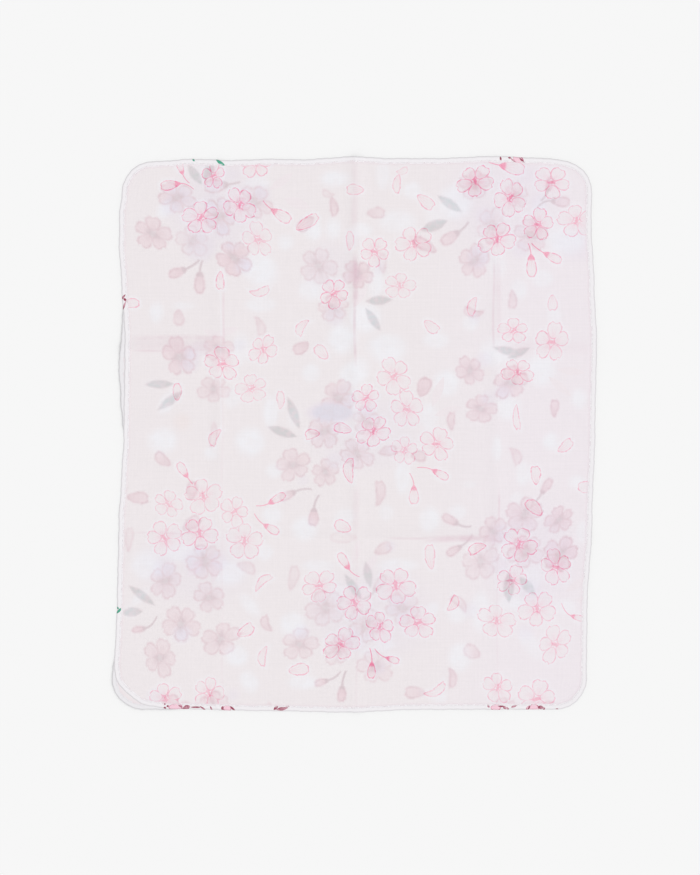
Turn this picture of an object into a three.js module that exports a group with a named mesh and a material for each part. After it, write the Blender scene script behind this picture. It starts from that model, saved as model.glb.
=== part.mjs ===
// A thin gauze handkerchief in two plies, lying opened flat with the creases of its packing.
// Millimetres, +Z up, +Y along the long side. The origin is under the middle, on the surface it rests on.
import * as THREE from 'three';

// Driving sizes of the cut cloth
const clothWidth = 300;
const clothLength = 350;
const cornerRadius = 20;

// Driving sizes of the layers
const plyThickness = 1;
const plyGap = 0.3;
const hemWidth = 3.5;
const hemRise = 0.4;
const hemRunOut = 4.5;

// Rings of the grid inside the edge, and the widest step of the grid in the flat panels
const rimRings = [0, hemWidth, hemWidth + hemRunOut, 14, cornerRadius];
const panelStepAcross = 24;
const panelStepAlong = 28;

// How far into the cloth a pulled edge still draws it
const swayReach = 62;

// The front ply floats a little over the back one in soft swells, which start inside the edge
const swellHeight = 0.5;
const swellEdge = 40;
const swellAcross = { length: 118, turn: 0.9 };
const swellAlong = { length: 146, turn: -0.4 };

// How far each edge of the front ply lies outside its straight line, at places along it
const leftSway = [
  { at: -175, out: -2.5 },
  { at: -158, out: 1 },
  { at: -148, out: 2 },
  { at: -130, out: 1 },
  { at: -106, out: 0 },
  { at: -54, out: -1 },
  { at: -29, out: -2.6 },
  { at: -2, out: -4.1 },
  { at: 60, out: -4.8 },
  { at: 99, out: -2.6 },
  { at: 117, out: -1.2 },
  { at: 141, out: -1.4 },
  { at: 155, out: -3.1 },
];
const rightSway = [
  { at: -152, out: -3.3 },
  { at: -110, out: -2.9 },
  { at: -54, out: 0.2 },
  { at: 4, out: 2.1 },
  { at: 60, out: 3.1 },
  { at: 93, out: 1.6 },
  { at: 134, out: -0.3 },
  { at: 156, out: 0 },
];
const topSway = [
  { at: -128, out: -2.5 },
  { at: -101, out: -0.9 },
  { at: -80, out: -1.7 },
  { at: -50, out: -0.9 },
  { at: -35, out: -1.3 },
  { at: 0, out: 0.6 },
  { at: 22, out: -0.5 },
  { at: 50, out: -0.5 },
  { at: 88, out: 0.8 },
  { at: 121, out: -0.4 },
  { at: 134, out: -2 },
];
const bottomSway = [
  { at: -146, out: -5 },
  { at: -132, out: -3.6 },
  { at: -116, out: -1.6 },
  { at: -53, out: -0.3 },
  { at: -5, out: 0.6 },
  { at: 40, out: -1.1 },
  { at: 130, out: -1.3 },
];

// How far each edge of the back ply lies outside the front one: it peeps out at two places on the left
const leftPeep = [
  { at: -175, out: 5.8 },
  { at: -158, out: 2.5 },
  { at: -148, out: 0.7 },
  { at: -138, out: -0.6 },
  { at: -2, out: -0.6 },
  { at: 9, out: 1 },
  { at: 22, out: 2.2 },
  { at: 44, out: 3.7 },
  { at: 60, out: 2.4 },
  { at: 73, out: 1 },
  { at: 84, out: -0.6 },
];
const bottomPeep = [
  { at: -146, out: 3.9 },
  { at: -132, out: 2.5 },
  { at: -116, out: 0.5 },
  { at: -104, out: -0.6 },
];
const hiddenPeep = [{ at: 0, out: -0.6 }];

// Packing creases: the line each one runs along, its height, and where along the line it stands highest
const creaseHalfWidth = 8;
const uprightCreases = [
  { line: -86, rise: 0.9, peak: 30, spread: 150 },
  { line: 1, rise: 1.6, peak: 110, spread: 150 },
  { line: 90, rise: 0.8, peak: 0, spread: 130 },
];
const levelCreases = [
  { line: -65, rise: 0.8, peak: 30, spread: 90 },
  { line: 55, rise: 0.9, peak: -110, spread: 70 },
];
const creaseLeastShare = 0.35;

// Eases from 0 to 1 as t goes from 0 to 1
function eased(t) {
  const s = THREE.MathUtils.clamp(t, 0, 1);
  return s * s * (3 - 2 * s);
}

// Value of an edge table at a place along the edge, with a smooth run from row to row
function outAt(table, place) {
  const next = table.findIndex((row) => row.at > place);
  if (next === 0) return table[0].out;
  if (next < 0) return table[table.length - 1].out;
  const before = table[next - 1];
  const after = table[next];
  const share = eased((place - before.at) / (after.at - before.at));
  return THREE.MathUtils.lerp(before.out, after.out, share);
}

// Draws the square corners of the grid into quarter circles, ring by ring
function roundedPlace(x, y) {
  const cornerX = clothWidth / 2 - cornerRadius;
  const cornerY = clothLength / 2 - cornerRadius;
  const a = (Math.abs(x) - cornerX) / cornerRadius;
  const b = (Math.abs(y) - cornerY) / cornerRadius;
  if (a <= 0 || b <= 0) return new THREE.Vector2(x, y);
  const radius = cornerRadius * Math.max(a, b);
  const angle = a >= b ? (Math.PI / 4) * (b / a) : Math.PI / 2 - (Math.PI / 4) * (a / b);
  return new THREE.Vector2(
    Math.sign(x) * (cornerX + radius * Math.cos(angle)),
    Math.sign(y) * (cornerY + radius * Math.sin(angle)),
  );
}

// Place on the surface of a point of the straight cloth, once each edge is pulled by its tables
function pulledPlace(x, y, edges) {
  const place = roundedPlace(x, y);
  const sum = (tables, at) => tables.reduce((total, table) => total + outAt(table, at), 0);
  const hold = (distance) => 1 - eased(distance / swayReach);
  place.x += hold(clothWidth / 2 - x) * sum(edges.right, place.y);
  place.x -= hold(clothWidth / 2 + x) * sum(edges.left, place.y);
  place.y += hold(clothLength / 2 - y) * sum(edges.top, place.x);
  place.y -= hold(clothLength / 2 + y) * sum(edges.bottom, place.x);
  return place;
}

// Height of one crease: a rounded ridge across its line, strongest at its peak
function ridge(crease, across, along) {
  const t = (across - crease.line) / creaseHalfWidth;
  if (Math.abs(t) >= 1) return 0;
  const strength = Math.exp(-(((along - crease.peak) / crease.spread) ** 2));
  const share = creaseLeastShare + (1 - creaseLeastShare) * strength;
  return crease.rise * share * 0.5 * (1 + Math.cos(Math.PI * t));
}

// Height of all creases at a point: where two cross, the higher one is seen
function creaseLift(x, y) {
  const upright = uprightCreases.map((crease) => ridge(crease, x, y));
  const level = levelCreases.map((crease) => ridge(crease, y, x));
  return Math.max(...upright, ...level);
}

// Distance of a point of the straight cloth from its nearest edge
function insideEdge(x, y) {
  return Math.min(clothWidth / 2 - Math.abs(x), clothLength / 2 - Math.abs(y));
}

// Height by which the front ply floats over the back one, nothing at the joined edges
function swellLift(x, y) {
  const wave = (part, place) => Math.cos((2 * Math.PI * place) / part.length + part.turn);
  const share = 0.5 * (1 + wave(swellAcross, x) * wave(swellAlong, y));
  return swellHeight * share * eased(insideEdge(x, y) / swellEdge);
}

// Extra height of the turned hem, which runs out softly inside it
function hemLift(x, y) {
  return hemRise * (1 - eased((insideEdge(x, y) - hemWidth) / hemRunOut));
}

// Grid lines from edge to edge: close at the hem, in the corners and over each crease
function gridLines(half, creases, panelStep) {
  const rim = rimRings.map((inside) => half - inside);
  const lines = [...rim, ...rim.map((value) => -value)];
  for (const { line } of creases) {
    for (const step of [-1, -0.5, 0, 0.5, 1]) lines.push(line + step * creaseHalfWidth);
  }
  lines.sort((a, b) => a - b);
  const filled = [lines[0]];
  for (const line of lines.slice(1)) {
    const last = filled[filled.length - 1];
    const parts = Math.max(1, Math.round((line - last) / panelStep));
    for (let i = 1; i <= parts; i += 1) filled.push(last + ((line - last) * i) / parts);
  }
  return filled;
}

// One ply as a closed sheet: an upper and a lower grid with a wall all round
function plySolid(edges, underside, thickness) {
  const columns = gridLines(clothWidth / 2, uprightCreases, panelStepAcross);
  const rows = gridLines(clothLength / 2, levelCreases, panelStepAlong);
  const positions = [];
  for (const layer of [0, 1]) {
    for (const y of rows) {
      for (const x of columns) {
        const place = pulledPlace(x, y, edges);
        positions.push(place.x, place.y, underside(x, y) + layer * thickness(x, y));
      }
    }
  }
  const across = columns.length;
  const upper = across * rows.length;
  const index = [];
  const quad = (a, b, c, d) => index.push(a, b, c, a, c, d);
  for (let j = 0; j < rows.length - 1; j += 1) {
    for (let i = 0; i < across - 1; i += 1) {
      const a = j * across + i;
      quad(upper + a, upper + a + 1, upper + a + across + 1, upper + a + across);
      quad(a, a + across, a + across + 1, a + 1);
    }
  }
  const topRow = (rows.length - 1) * across;
  for (let i = 0; i < across - 1; i += 1) {
    quad(i, i + 1, upper + i + 1, upper + i);
    quad(topRow + i + 1, topRow + i, upper + topRow + i, upper + topRow + i + 1);
  }
  for (let j = 0; j < rows.length - 1; j += 1) {
    const left = j * across;
    const right = left + across - 1;
    quad(left + across, left, upper + left, upper + left + across);
    quad(right, right + across, upper + right + across, upper + right);
  }
  const geometry = new THREE.BufferGeometry();
  geometry.setAttribute('position', new THREE.Float32BufferAttribute(positions, 3));
  geometry.setIndex(index);
  geometry.computeVertexNormals();
  return geometry;
}

// The lower ply lies on the surface and lifts only along the creases
function makeBackPly() {
  const edges = {
    left: [leftSway, leftPeep],
    right: [rightSway, hiddenPeep],
    top: [topSway, hiddenPeep],
    bottom: [bottomSway, bottomPeep],
  };
  const geometry = plySolid(edges, creaseLift, () => plyThickness);
  const material = new THREE.MeshStandardMaterial({ color: '#e4d3d8', roughness: 0.9, metalness: 0 });
  const mesh = new THREE.Mesh(geometry, material);
  mesh.name = 'back_ply';
  return mesh;
}

// The upper ply follows it in soft swells, and its hem is turned up onto it
function makeFrontPly() {
  const edges = {
    left: [leftSway],
    right: [rightSway],
    top: [topSway],
    bottom: [bottomSway],
  };
  const underside = (x, y) => creaseLift(x, y) + plyThickness + plyGap + swellLift(x, y);
  const thickness = (x, y) => plyThickness + hemLift(x, y);
  const geometry = plySolid(edges, underside, thickness);
  const material = new THREE.MeshStandardMaterial({ color: '#efe8ea', roughness: 0.9, metalness: 0 });
  const mesh = new THREE.Mesh(geometry, material);
  mesh.name = 'front_ply';
  return mesh;
}

// Both plies, moved so that the origin lies under the middle of what they cover
function makeHandkerchief() {
  const group = new THREE.Group();
  group.add(makeBackPly(), makeFrontPly());
  const middle = new THREE.Box3().setFromObject(group).getCenter(new THREE.Vector3());
  for (const mesh of group.children) mesh.position.set(-middle.x, -middle.y, 0);
  return group;
}

export default makeHandkerchief();
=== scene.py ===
"""Looks of a gauze handkerchief that lies opened flat: two printed plies, one on the other.

The cloth is worked out in millimetres: x across the panel, y along it, z up. The panel is cut about its
own middle, and is then moved as its solids are, so that the origin lies under the middle of what it covers.
Meshes are made in metres. The print is a table of figures laid out on the front ply. The back ply carries
the same print turned over, so each of its points looks up its place on the front one.
"""

import logging
import math
from collections.abc import Sequence
from dataclasses import dataclass
from enum import Enum, IntEnum

import bpy
import numpy as np
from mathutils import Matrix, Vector


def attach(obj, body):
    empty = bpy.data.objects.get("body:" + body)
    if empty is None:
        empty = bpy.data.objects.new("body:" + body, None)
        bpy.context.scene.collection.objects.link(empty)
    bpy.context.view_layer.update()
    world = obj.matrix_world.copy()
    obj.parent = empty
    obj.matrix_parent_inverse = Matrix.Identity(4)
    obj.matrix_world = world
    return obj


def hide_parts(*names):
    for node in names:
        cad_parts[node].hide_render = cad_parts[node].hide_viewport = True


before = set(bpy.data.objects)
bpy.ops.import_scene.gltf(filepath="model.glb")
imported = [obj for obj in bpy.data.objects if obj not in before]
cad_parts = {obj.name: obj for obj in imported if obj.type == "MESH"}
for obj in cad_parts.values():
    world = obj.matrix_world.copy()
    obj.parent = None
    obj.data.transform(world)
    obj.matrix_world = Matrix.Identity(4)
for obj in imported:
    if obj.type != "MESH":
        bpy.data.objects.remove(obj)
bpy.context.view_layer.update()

log = logging.getLogger("handkerchief")

Array = np.ndarray
Socket = bpy.types.NodeSocket
Value = bpy.types.NodeSocket | float
Colour = tuple[int, int, int]

MM = 0.001
BODY = "root"

# Distance from thread to thread of the gauze
WEAVE_PITCH = 0.56

# A wash patch is full up to this share of its half size, and fades over the next share
WASH_CORE = 0.55
WASH_FADE = 0.8

# Names of the attributes that carry the print and the lie of the cloth to the materials
UPPER_PLACE = "upper_place"
UPPER_LOOK = "upper_look"
LOWER_PLACE = "lower_place"
LOWER_LOOK = "lower_look"
WASH = "wash"
THREADS = "threads"


class Ply(Enum):
    """One of the two panels of gauze."""

    FRONT = "front"
    BACK = "back"


class Kind(IntEnum):
    """What a printed figure is. The number reaches the materials."""

    BARE = 0
    BLOSSOM = 1
    PETAL = 2
    BUD = 3
    LEAF = 4
    STROKE = 5


def eased(t: Array) -> Array:
    """Smooth step: 3t² - 2t³, with t held between 0 and 1.

    Args:
        t: any numbers.

    Returns:
        The eased numbers, from 0 to 1.
    """
    held = np.clip(t, 0.0, 1.0)
    return held * held * (3.0 - 2.0 * held)


def linear(colour: Colour) -> tuple[float, float, float, float]:
    """Turns a display colour of 0 to 255 into the linear one that a shader takes.

    Args:
        colour: red, green and blue, 0 to 255.

    Returns:
        Linear red, green, blue and a full alpha.
    """
    shares = [part / 255 for part in colour]
    straight = [s / 12.92 if s <= 0.04045 else ((s + 0.055) / 1.055) ** 2.4 for s in shares]
    return (*straight, 1.0)


@dataclass(frozen=True)
class EdgeTable:
    """How far an edge lies outside its straight line, in rows of (place along it, distance out)."""

    rows: tuple[tuple[float, float], ...]

    def read(self, places: Array) -> Array:
        """Reads the table with a smooth run from row to row, and level before the first and after the last.

        Args:
            places: places along the edge.

        Returns:
            The distance out at each place.
        """
        at, out = np.array(self.rows).T
        after = np.clip(np.searchsorted(at, places, side="right"), 1, len(at) - 1)
        before = after - 1
        share = eased((places - at[before]) / (at[after] - at[before]))
        return out[before] + (out[after] - out[before]) * share


@dataclass(frozen=True)
class Crease:
    """A packing crease: its line, its height, and where along it and over what reach it stands highest."""

    line: float
    rise: float
    peak: float
    spread: float

    half_width = 8.0
    least_share = 0.35
    fold_half_width = 1.6
    fold_rise = 0.4

    def strength(self, along: Array) -> Array:
        """Share of the full height: a bell about the peak, on a floor of least_share."""
        bell = np.exp(-(((along - self.peak) / self.spread) ** 2))
        return self.least_share + (1 - self.least_share) * bell

    def off(self, across: Array, along: Array) -> Array:
        """Distance from the fold's own line, which wanders by about half a millimetre."""
        wander = 0.5 * np.sin(along / 17.0 + self.line) + 0.25 * np.sin(along / 6.3 + self.peak)
        return across - self.line - wander

    def lift(self, across: Array, along: Array) -> Array:
        """Height over the flat cloth: a broad ridge, half a cosine each side, with a fine fold on top.

        Args:
            across: distance across the crease from the panel's middle.
            along: distance along it from the panel's middle.

        Returns:
            The height at each point.
        """
        broad = np.clip(np.abs(across - self.line) / self.half_width, 0, 1)
        fine = np.clip(np.abs(self.off(across, along)) / self.fold_half_width, 0, 1)
        ridge = self.rise * 0.5 * (1 + np.cos(math.pi * broad))
        fold = self.fold_rise * 0.5 * (1 + np.cos(math.pi * fine))
        return self.strength(along) * (ridge + fold)


@dataclass(frozen=True)
class Wave:
    """One soft swell of the lying cloth."""

    height: float
    length: float
    turn: float
    start: float

    def lift(self, x: Array, y: Array) -> Array:
        """Height from 0 to twice the wave's own: a sine along its turn, raised to rest on zero.

        Args:
            x: straight places across.
            y: straight places along.

        Returns:
            The height at each point.
        """
        turn = math.radians(self.turn)
        along = x * math.cos(turn) + y * math.sin(turn)
        return self.height * (1 + np.sin(2 * math.pi * along / self.length + self.start))


@dataclass(frozen=True)
class Panel:
    """The cut of both plies, the pull of their edges, and how high each lies."""

    width: float = 300.0
    length: float = 350.0
    corner_radius: float = 20.0
    sway_reach: float = 62.0
    gauze: float = 0.3
    hem_width: float = 3.5
    front_height: float = 1.3
    hem_lift: float = 0.35
    hem_lift_reach: float = 8.0
    swell: float = 0.5
    swell_edge: float = 40.0

    # Length and start of the front ply's swells across and along
    swell_across = (118.0, 0.9)
    swell_along = (146.0, -0.4)

    # Shares of 1, u, u², v and v² in the back print's slides, with u and v from -1 to 1 over the panel
    slide_across = (14.1, 0.8, -1.2, 5.5, -7.1)
    slide_along = (14.1, 1.3, -7.1, 0.0, 0.6)

    sways = {
        "left": EdgeTable(
            (
                (-175, -2.5), (-158, 1), (-148, 2), (-130, 1), (-106, 0), (-54, -1), (-29, -2.6),
                (-2, -4.1), (60, -4.8), (99, -2.6), (117, -1.2), (141, -1.4), (155, -3.1),
            )
        ),
        "right": EdgeTable(
            (
                (-152, -3.3), (-110, -2.9), (-54, 0.2), (4, 2.1), (60, 3.1), (93, 1.6),
                (134, -0.3), (156, 0),
            )
        ),
        "top": EdgeTable(
            (
                (-128, -2.5), (-101, -0.9), (-80, -1.7), (-50, -0.9), (-35, -1.3), (0, 0.6),
                (22, -0.5), (50, -0.5), (88, 0.8), (121, -0.4), (134, -2),
            )
        ),
        "bottom": EdgeTable(
            ((-146, -5), (-132, -3.6), (-116, -1.6), (-53, -0.3), (-5, 0.6), (40, -1.1), (130, -1.3))
        ),
    }

    # How far the back ply's edges lie outside the front one's: it peeps out at two places on the left
    peeps = {
        "left": EdgeTable(
            (
                (-175, 5.8), (-158, 2.5), (-148, 0.7), (-138, -0.6), (-2, -0.6), (9, 1),
                (22, 2.2), (44, 3.7), (60, 2.4), (73, 1), (84, -0.6),
            )
        ),
        "right": EdgeTable(((-1, -0.6), (1, -0.6))),
        "top": EdgeTable(((-1, -0.6), (1, -0.6))),
        "bottom": EdgeTable(((-146, 3.9), (-132, 2.5), (-116, 0.5), (-104, -0.6))),
    }

    upright = (
        Crease(-86, 0.9, 30, 150),
        Crease(1, 1.6, 110, 150),
        Crease(90, 0.8, 0, 130),
    )
    level = (
        Crease(-65, 0.8, 30, 90),
        Crease(55, 0.9, -110, 70),
    )
    waves = (
        Wave(0.08, 67, 20, 0.4),
        Wave(0.06, 43, 105, 1.9),
        Wave(0.04, 27, 62, 3.1),
        Wave(0.03, 17, 138, 0.8),
    )

    def rounded(self, x: Array, y: Array) -> tuple[Array, Array]:
        """Draws the square corners into quarter circles, ring by ring.

        In a corner's square, a and b are the shares of the way to its sides. The ring's radius is the larger
        share of the corner radius, and its angle is an eighth of a turn times the smaller over the larger.

        Args:
            x: straight places across.
            y: straight places along.

        Returns:
            The rounded places across and along.
        """
        corner_x = self.width / 2 - self.corner_radius
        corner_y = self.length / 2 - self.corner_radius
        a = np.clip((np.abs(x) - corner_x) / self.corner_radius, 0, None)
        b = np.clip((np.abs(y) - corner_y) / self.corner_radius, 0, None)
        most = np.maximum(np.maximum(a, b), 1e-9)
        least = np.minimum(a, b)
        angle = math.pi / 4 * least / most
        angle = np.where(a >= b, angle, math.pi / 2 - angle)
        inside = (a > 0) & (b > 0)
        radius = self.corner_radius * most
        round_x = np.sign(x) * (corner_x + radius * np.cos(angle))
        round_y = np.sign(y) * (corner_y + radius * np.sin(angle))
        return np.where(inside, round_x, x), np.where(inside, round_y, y)

    def out(self, side: str, places: Array, ply: Ply) -> Array:
        """How far one edge of a ply lies outside its straight line."""
        own = self.sways[side].read(places)
        return own + self.peeps[side].read(places) if ply is Ply.BACK else own

    def pulled(self, x: Array, y: Array, ply: Ply) -> tuple[Array, Array]:
        """Where points of the straight cloth lie once each edge is pulled.

        Each edge's pull fades into the cloth as one less the eased distance over sway_reach.

        Args:
            x: straight places across.
            y: straight places along.
            ply: which panel.

        Returns:
            The places across and along, in millimetres about the panel's middle.
        """
        place_x, place_y = self.rounded(x, y)
        half_x, half_y = self.width / 2, self.length / 2
        right = (1 - eased((half_x - x) / self.sway_reach)) * self.out("right", place_y, ply)
        left = (1 - eased((half_x + x) / self.sway_reach)) * self.out("left", place_y, ply)
        place_x = place_x + right - left
        top = (1 - eased((half_y - y) / self.sway_reach)) * self.out("top", place_x, ply)
        bottom = (1 - eased((half_y + y) / self.sway_reach)) * self.out("bottom", place_x, ply)
        return place_x, place_y + top - bottom

    def inside(self, x: Array, y: Array) -> Array:
        """Distance of straight places from the nearest edge."""
        return np.minimum(self.width / 2 - np.abs(x), self.length / 2 - np.abs(y))

    def crease_lift(self, x: Array, y: Array) -> Array:
        """Height of all creases: where two cross, the higher one is seen.

        Args:
            x: straight places across.
            y: straight places along.

        Returns:
            The height at each point.
        """
        lifts = [crease.lift(x, y) for crease in self.upright]
        lifts += [crease.lift(y, x) for crease in self.level]
        return np.max(lifts, axis=0)

    def base(self, x: Array, y: Array, ply: Ply) -> Array:
        """Height that a ply's hem lies at: the creases, and for the front ply the back one under it."""
        return self.crease_lift(x, y) + (self.front_height if ply is Ply.FRONT else 0.0)

    def underside(self, x: Array, y: Array, ply: Ply) -> Array:
        """Height of the underside of a ply's gauze.

        It is the hem's own height, plus the lift that the hem gives the cloth beside it, plus the waves. The
        front ply also floats in swells: half of one plus a product of two cosines, eased in from the edge.

        Args:
            x: straight places across.
            y: straight places along.
            ply: which panel.

        Returns:
            The height of each point.
        """
        inside = self.inside(x, y)
        away = eased((inside - self.hem_width) / self.hem_lift_reach)
        height = self.base(x, y, ply) + self.hem_lift * (1 - away)
        height = height + away * sum(wave.lift(x, y) for wave in self.waves)
        if ply is Ply.FRONT:
            both = ((x, self.swell_across), (y, self.swell_along))
            wave_x, wave_y = (np.cos(2 * math.pi * at / length + start) for at, (length, start) in both)
            height = height + self.swell * 0.5 * (1 + wave_x * wave_y) * eased(inside / self.swell_edge)
        return height

    def border(self, step: float) -> tuple[Array, Array]:
        """Straight places round the border, counter-clockwise from the bottom left corner, evenly spaced.

        Args:
            step: distance from one to the next, near enough.

        Returns:
            The places across and along.
        """
        half_x, half_y = self.width / 2, self.length / 2
        across = np.linspace(-half_x, half_x, round(self.width / step), endpoint=False)
        along = np.linspace(-half_y, half_y, round(self.length / step), endpoint=False)
        x = [across, np.full_like(along, half_x), -across, np.full_like(along, -half_x)]
        y = [np.full_like(across, -half_y), along, np.full_like(across, half_y), -along]
        return np.concatenate(x), np.concatenate(y)

    def middle(self) -> tuple[float, float]:
        """Middle of the box that both plies fill, about the cut panel's middle.

        Returns:
            The place across and along, which the whole cloth is moved back by.
        """
        x, y = self.border(1.0)
        outlines = [self.pulled(x, y, ply) for ply in Ply]
        spans = [np.concatenate([outline[axis] for outline in outlines]) for axis in (0, 1)]
        return tuple((span.max() + span.min()) / 2 for span in spans)

    def on_front(self, x: Array, y: Array, ply: Ply) -> tuple[Array, Array]:
        """Place in the print's table of points of a ply. The front ply's is its own.

        The back ply is the same cloth turned over left to right. It lies a little lower, most of all down
        the middle, and it is slid sideways, least at both ends. Both slides are sums of the first two powers
        of the shares of the way to the edges.

        Args:
            x: places across.
            y: places along.
            ply: which panel.

        Returns:
            The places across and along in the table.
        """
        if ply is Ply.FRONT:
            return x, y
        u, v = 2 * x / self.width, 2 * y / self.length
        terms = np.array([np.ones_like(u), u, u * u, v, v * v])
        slid_x, slid_y = (np.tensordot(shares, terms, 1) for shares in (self.slide_across, self.slide_along))
        return slid_x - x, y + slid_y


PANEL = Panel()


@dataclass(frozen=True)
class Figure:
    """One printed figure, in millimetres and degrees on the front ply.

    Its own frame has u towards its tip and v across. Stem is where a bud's stem starts in that frame.
    """

    kind: Kind
    x: float
    y: float
    half_length: float
    half_width: float
    turn: float
    tone: float = 1.0
    notch: float = 0.0
    bend: float = 0.0
    squeeze: float = 1.0
    squeeze_turn: float = 0.0
    stem: tuple[float, float] = (-1.0, 0.0)

    stem_reach = 2.1
    bud_middle = 1.08
    petal_middle = 0.57
    petal_half = 0.43
    heart_share = 0.2
    stem_room = 1.2

    def place(self, x: Array, y: Array) -> tuple[Array, Array]:
        """Own coordinates of points of the cloth.

        The point is turned into the figure's frame, and is stretched across squeeze_turn by one over
        squeeze, which shows a blossom a little from the side. A bend moves v by bend times u squared over
        the half length. Behind a bud's calyx, u is stretched so that every stem is equally long, and v is
        moved by the square of u's share of the stem, so that the stem leaves the calyx straight.

        Args:
            x: places across, in the table.
            y: places along, in the table.

        Returns:
            u and v.
        """
        turn, side = math.radians(self.turn), math.radians(self.squeeze_turn)
        off_x, off_y = x - self.x, y - self.y
        stretch = (off_y * math.cos(side) - off_x * math.sin(side)) * (1 / self.squeeze - 1)
        off_x, off_y = off_x - stretch * math.sin(side), off_y + stretch * math.cos(side)
        u = off_x * math.cos(turn) + off_y * math.sin(turn)
        v = off_y * math.cos(turn) - off_x * math.sin(turn)
        v = v - self.bend * u * u / self.half_length
        if self.kind is Kind.BUD:
            share = u / self.stem[0]
            v = np.where(u < 0, v - self.stem[1] * share * share, v)
            u = np.where(u < 0, -self.stem_reach * self.half_length * share, u)
        return u, v

    def reach(self, x: Array, y: Array) -> Array:
        """Rough distance of points from the figure's outline, negative inside it.

        A blossom is folded onto its nearest petal. A petal is an ellipse, whose first-order distance is
        (q² - 1) over twice the length of q²'s half gradient. A bud is its petal, or its stem where nearer.

        Args:
            x: places across, in the table.
            y: places along, in the table.

        Returns:
            The distance of each point, in millimetres.
        """
        u, v = self.place(x, y)
        along, across, half = u, v, self.half_length
        if self.kind is Kind.BLOSSOM:
            step = 2 * math.pi / 5
            angle = np.arctan2(v, u)
            angle = angle - step * np.round(angle / step)
            far = np.hypot(u, v)
            half = self.petal_half * self.half_length
            along = far * np.cos(angle) - self.petal_middle * self.half_length
            across = far * np.sin(angle)
        elif self.kind is Kind.BUD:
            along = u - self.bud_middle * half
        squared = (along / half) ** 2 + (across / self.half_width) ** 2
        slope = np.hypot(along / half**2, across / self.half_width**2)
        distance = np.maximum((squared - 1) / (2 * slope + 1e-6), -self.half_width)
        if self.kind is Kind.BLOSSOM:
            distance = np.minimum(distance, np.hypot(u, v) - self.heart_share * self.half_length)
        if self.kind is Kind.BUD:
            ends = np.maximum(u - 1, -self.stem_reach * half - u)
            distance = np.minimum(distance, np.maximum(np.abs(v) - self.stem_room, ends))
        return distance


# Shares of a blossom's radius and of a bud's length, and how deep the tips of the petals are notched
PETAL_HALF_WIDTH = 0.37
BUD_HALF_LENGTH = 0.48
BUD_HALF_WIDTH = 0.24
BLOSSOM_NOTCH = 0.55
PETAL_NOTCH = 0.35
BUD_NOTCH = 0.2


def blossom(x: float, y: float, radius: float, turn: float, tone: float) -> Figure:
    """A five-petalled blossom, seen a little from the side.

    Args:
        x: place of its middle across.
        y: place of its middle along.
        radius: its radius.
        turn: the direction of one petal.
        tone: how strongly it shows.

    Returns:
        The figure.
    """
    squeeze = 0.9 + 0.08 * math.sin(0.7 * x + 1.3 * y)
    side = 3.0 * x + y
    half = PETAL_HALF_WIDTH * radius
    return Figure(Kind.BLOSSOM, x, y, radius, half, turn, tone, BLOSSOM_NOTCH, 0.0, squeeze, side)


def petal(
    x: float, y: float, length: float, width: float, turn: float, bend: float, tone: float
) -> Figure:
    """A fallen petal: its middle, its size, the direction of its tip, its curve and its tone."""
    return Figure(Kind.PETAL, x, y, length / 2, width / 2, turn, tone, PETAL_NOTCH, bend)


def bud(
    x: float, y: float, tip_x: float, tip_y: float, root_x: float, root_y: float, tone: float
) -> Figure:
    """A bud on its stem.

    Args:
        x: place of its calyx across.
        y: place of its calyx along.
        tip_x: place of its petals' tip across.
        tip_y: place of its petals' tip along.
        root_x: place across where its stem starts.
        root_y: place along where its stem starts.
        tone: how strongly it shows.

    Returns:
        The figure.
    """
    along, across = tip_x - x, tip_y - y
    length = math.hypot(along, across)
    turn = math.atan2(across, along)
    back_x, back_y = root_x - x, root_y - y
    stem = (
        min(-1.0, back_x * math.cos(turn) + back_y * math.sin(turn)),
        back_y * math.cos(turn) - back_x * math.sin(turn),
    )
    half, wide = BUD_HALF_LENGTH * length, BUD_HALF_WIDTH * length
    return Figure(Kind.BUD, x, y, half, wide, math.degrees(turn), tone, BUD_NOTCH, stem=stem)


def leaf(x: float, y: float, tip_x: float, tip_y: float, width: float) -> Figure:
    """A leaf from its stalk to its tip.

    Args:
        x: place of its stalk across.
        y: place of its stalk along.
        tip_x: place of its tip across.
        tip_y: place of its tip along.
        width: its width.

    Returns:
        The figure.
    """
    turn = math.degrees(math.atan2(tip_y - y, tip_x - x))
    half = math.hypot(tip_x - x, tip_y - y) / 2
    return Figure(Kind.LEAF, (x + tip_x) / 2, (y + tip_y) / 2, half, width / 2, turn)


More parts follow.
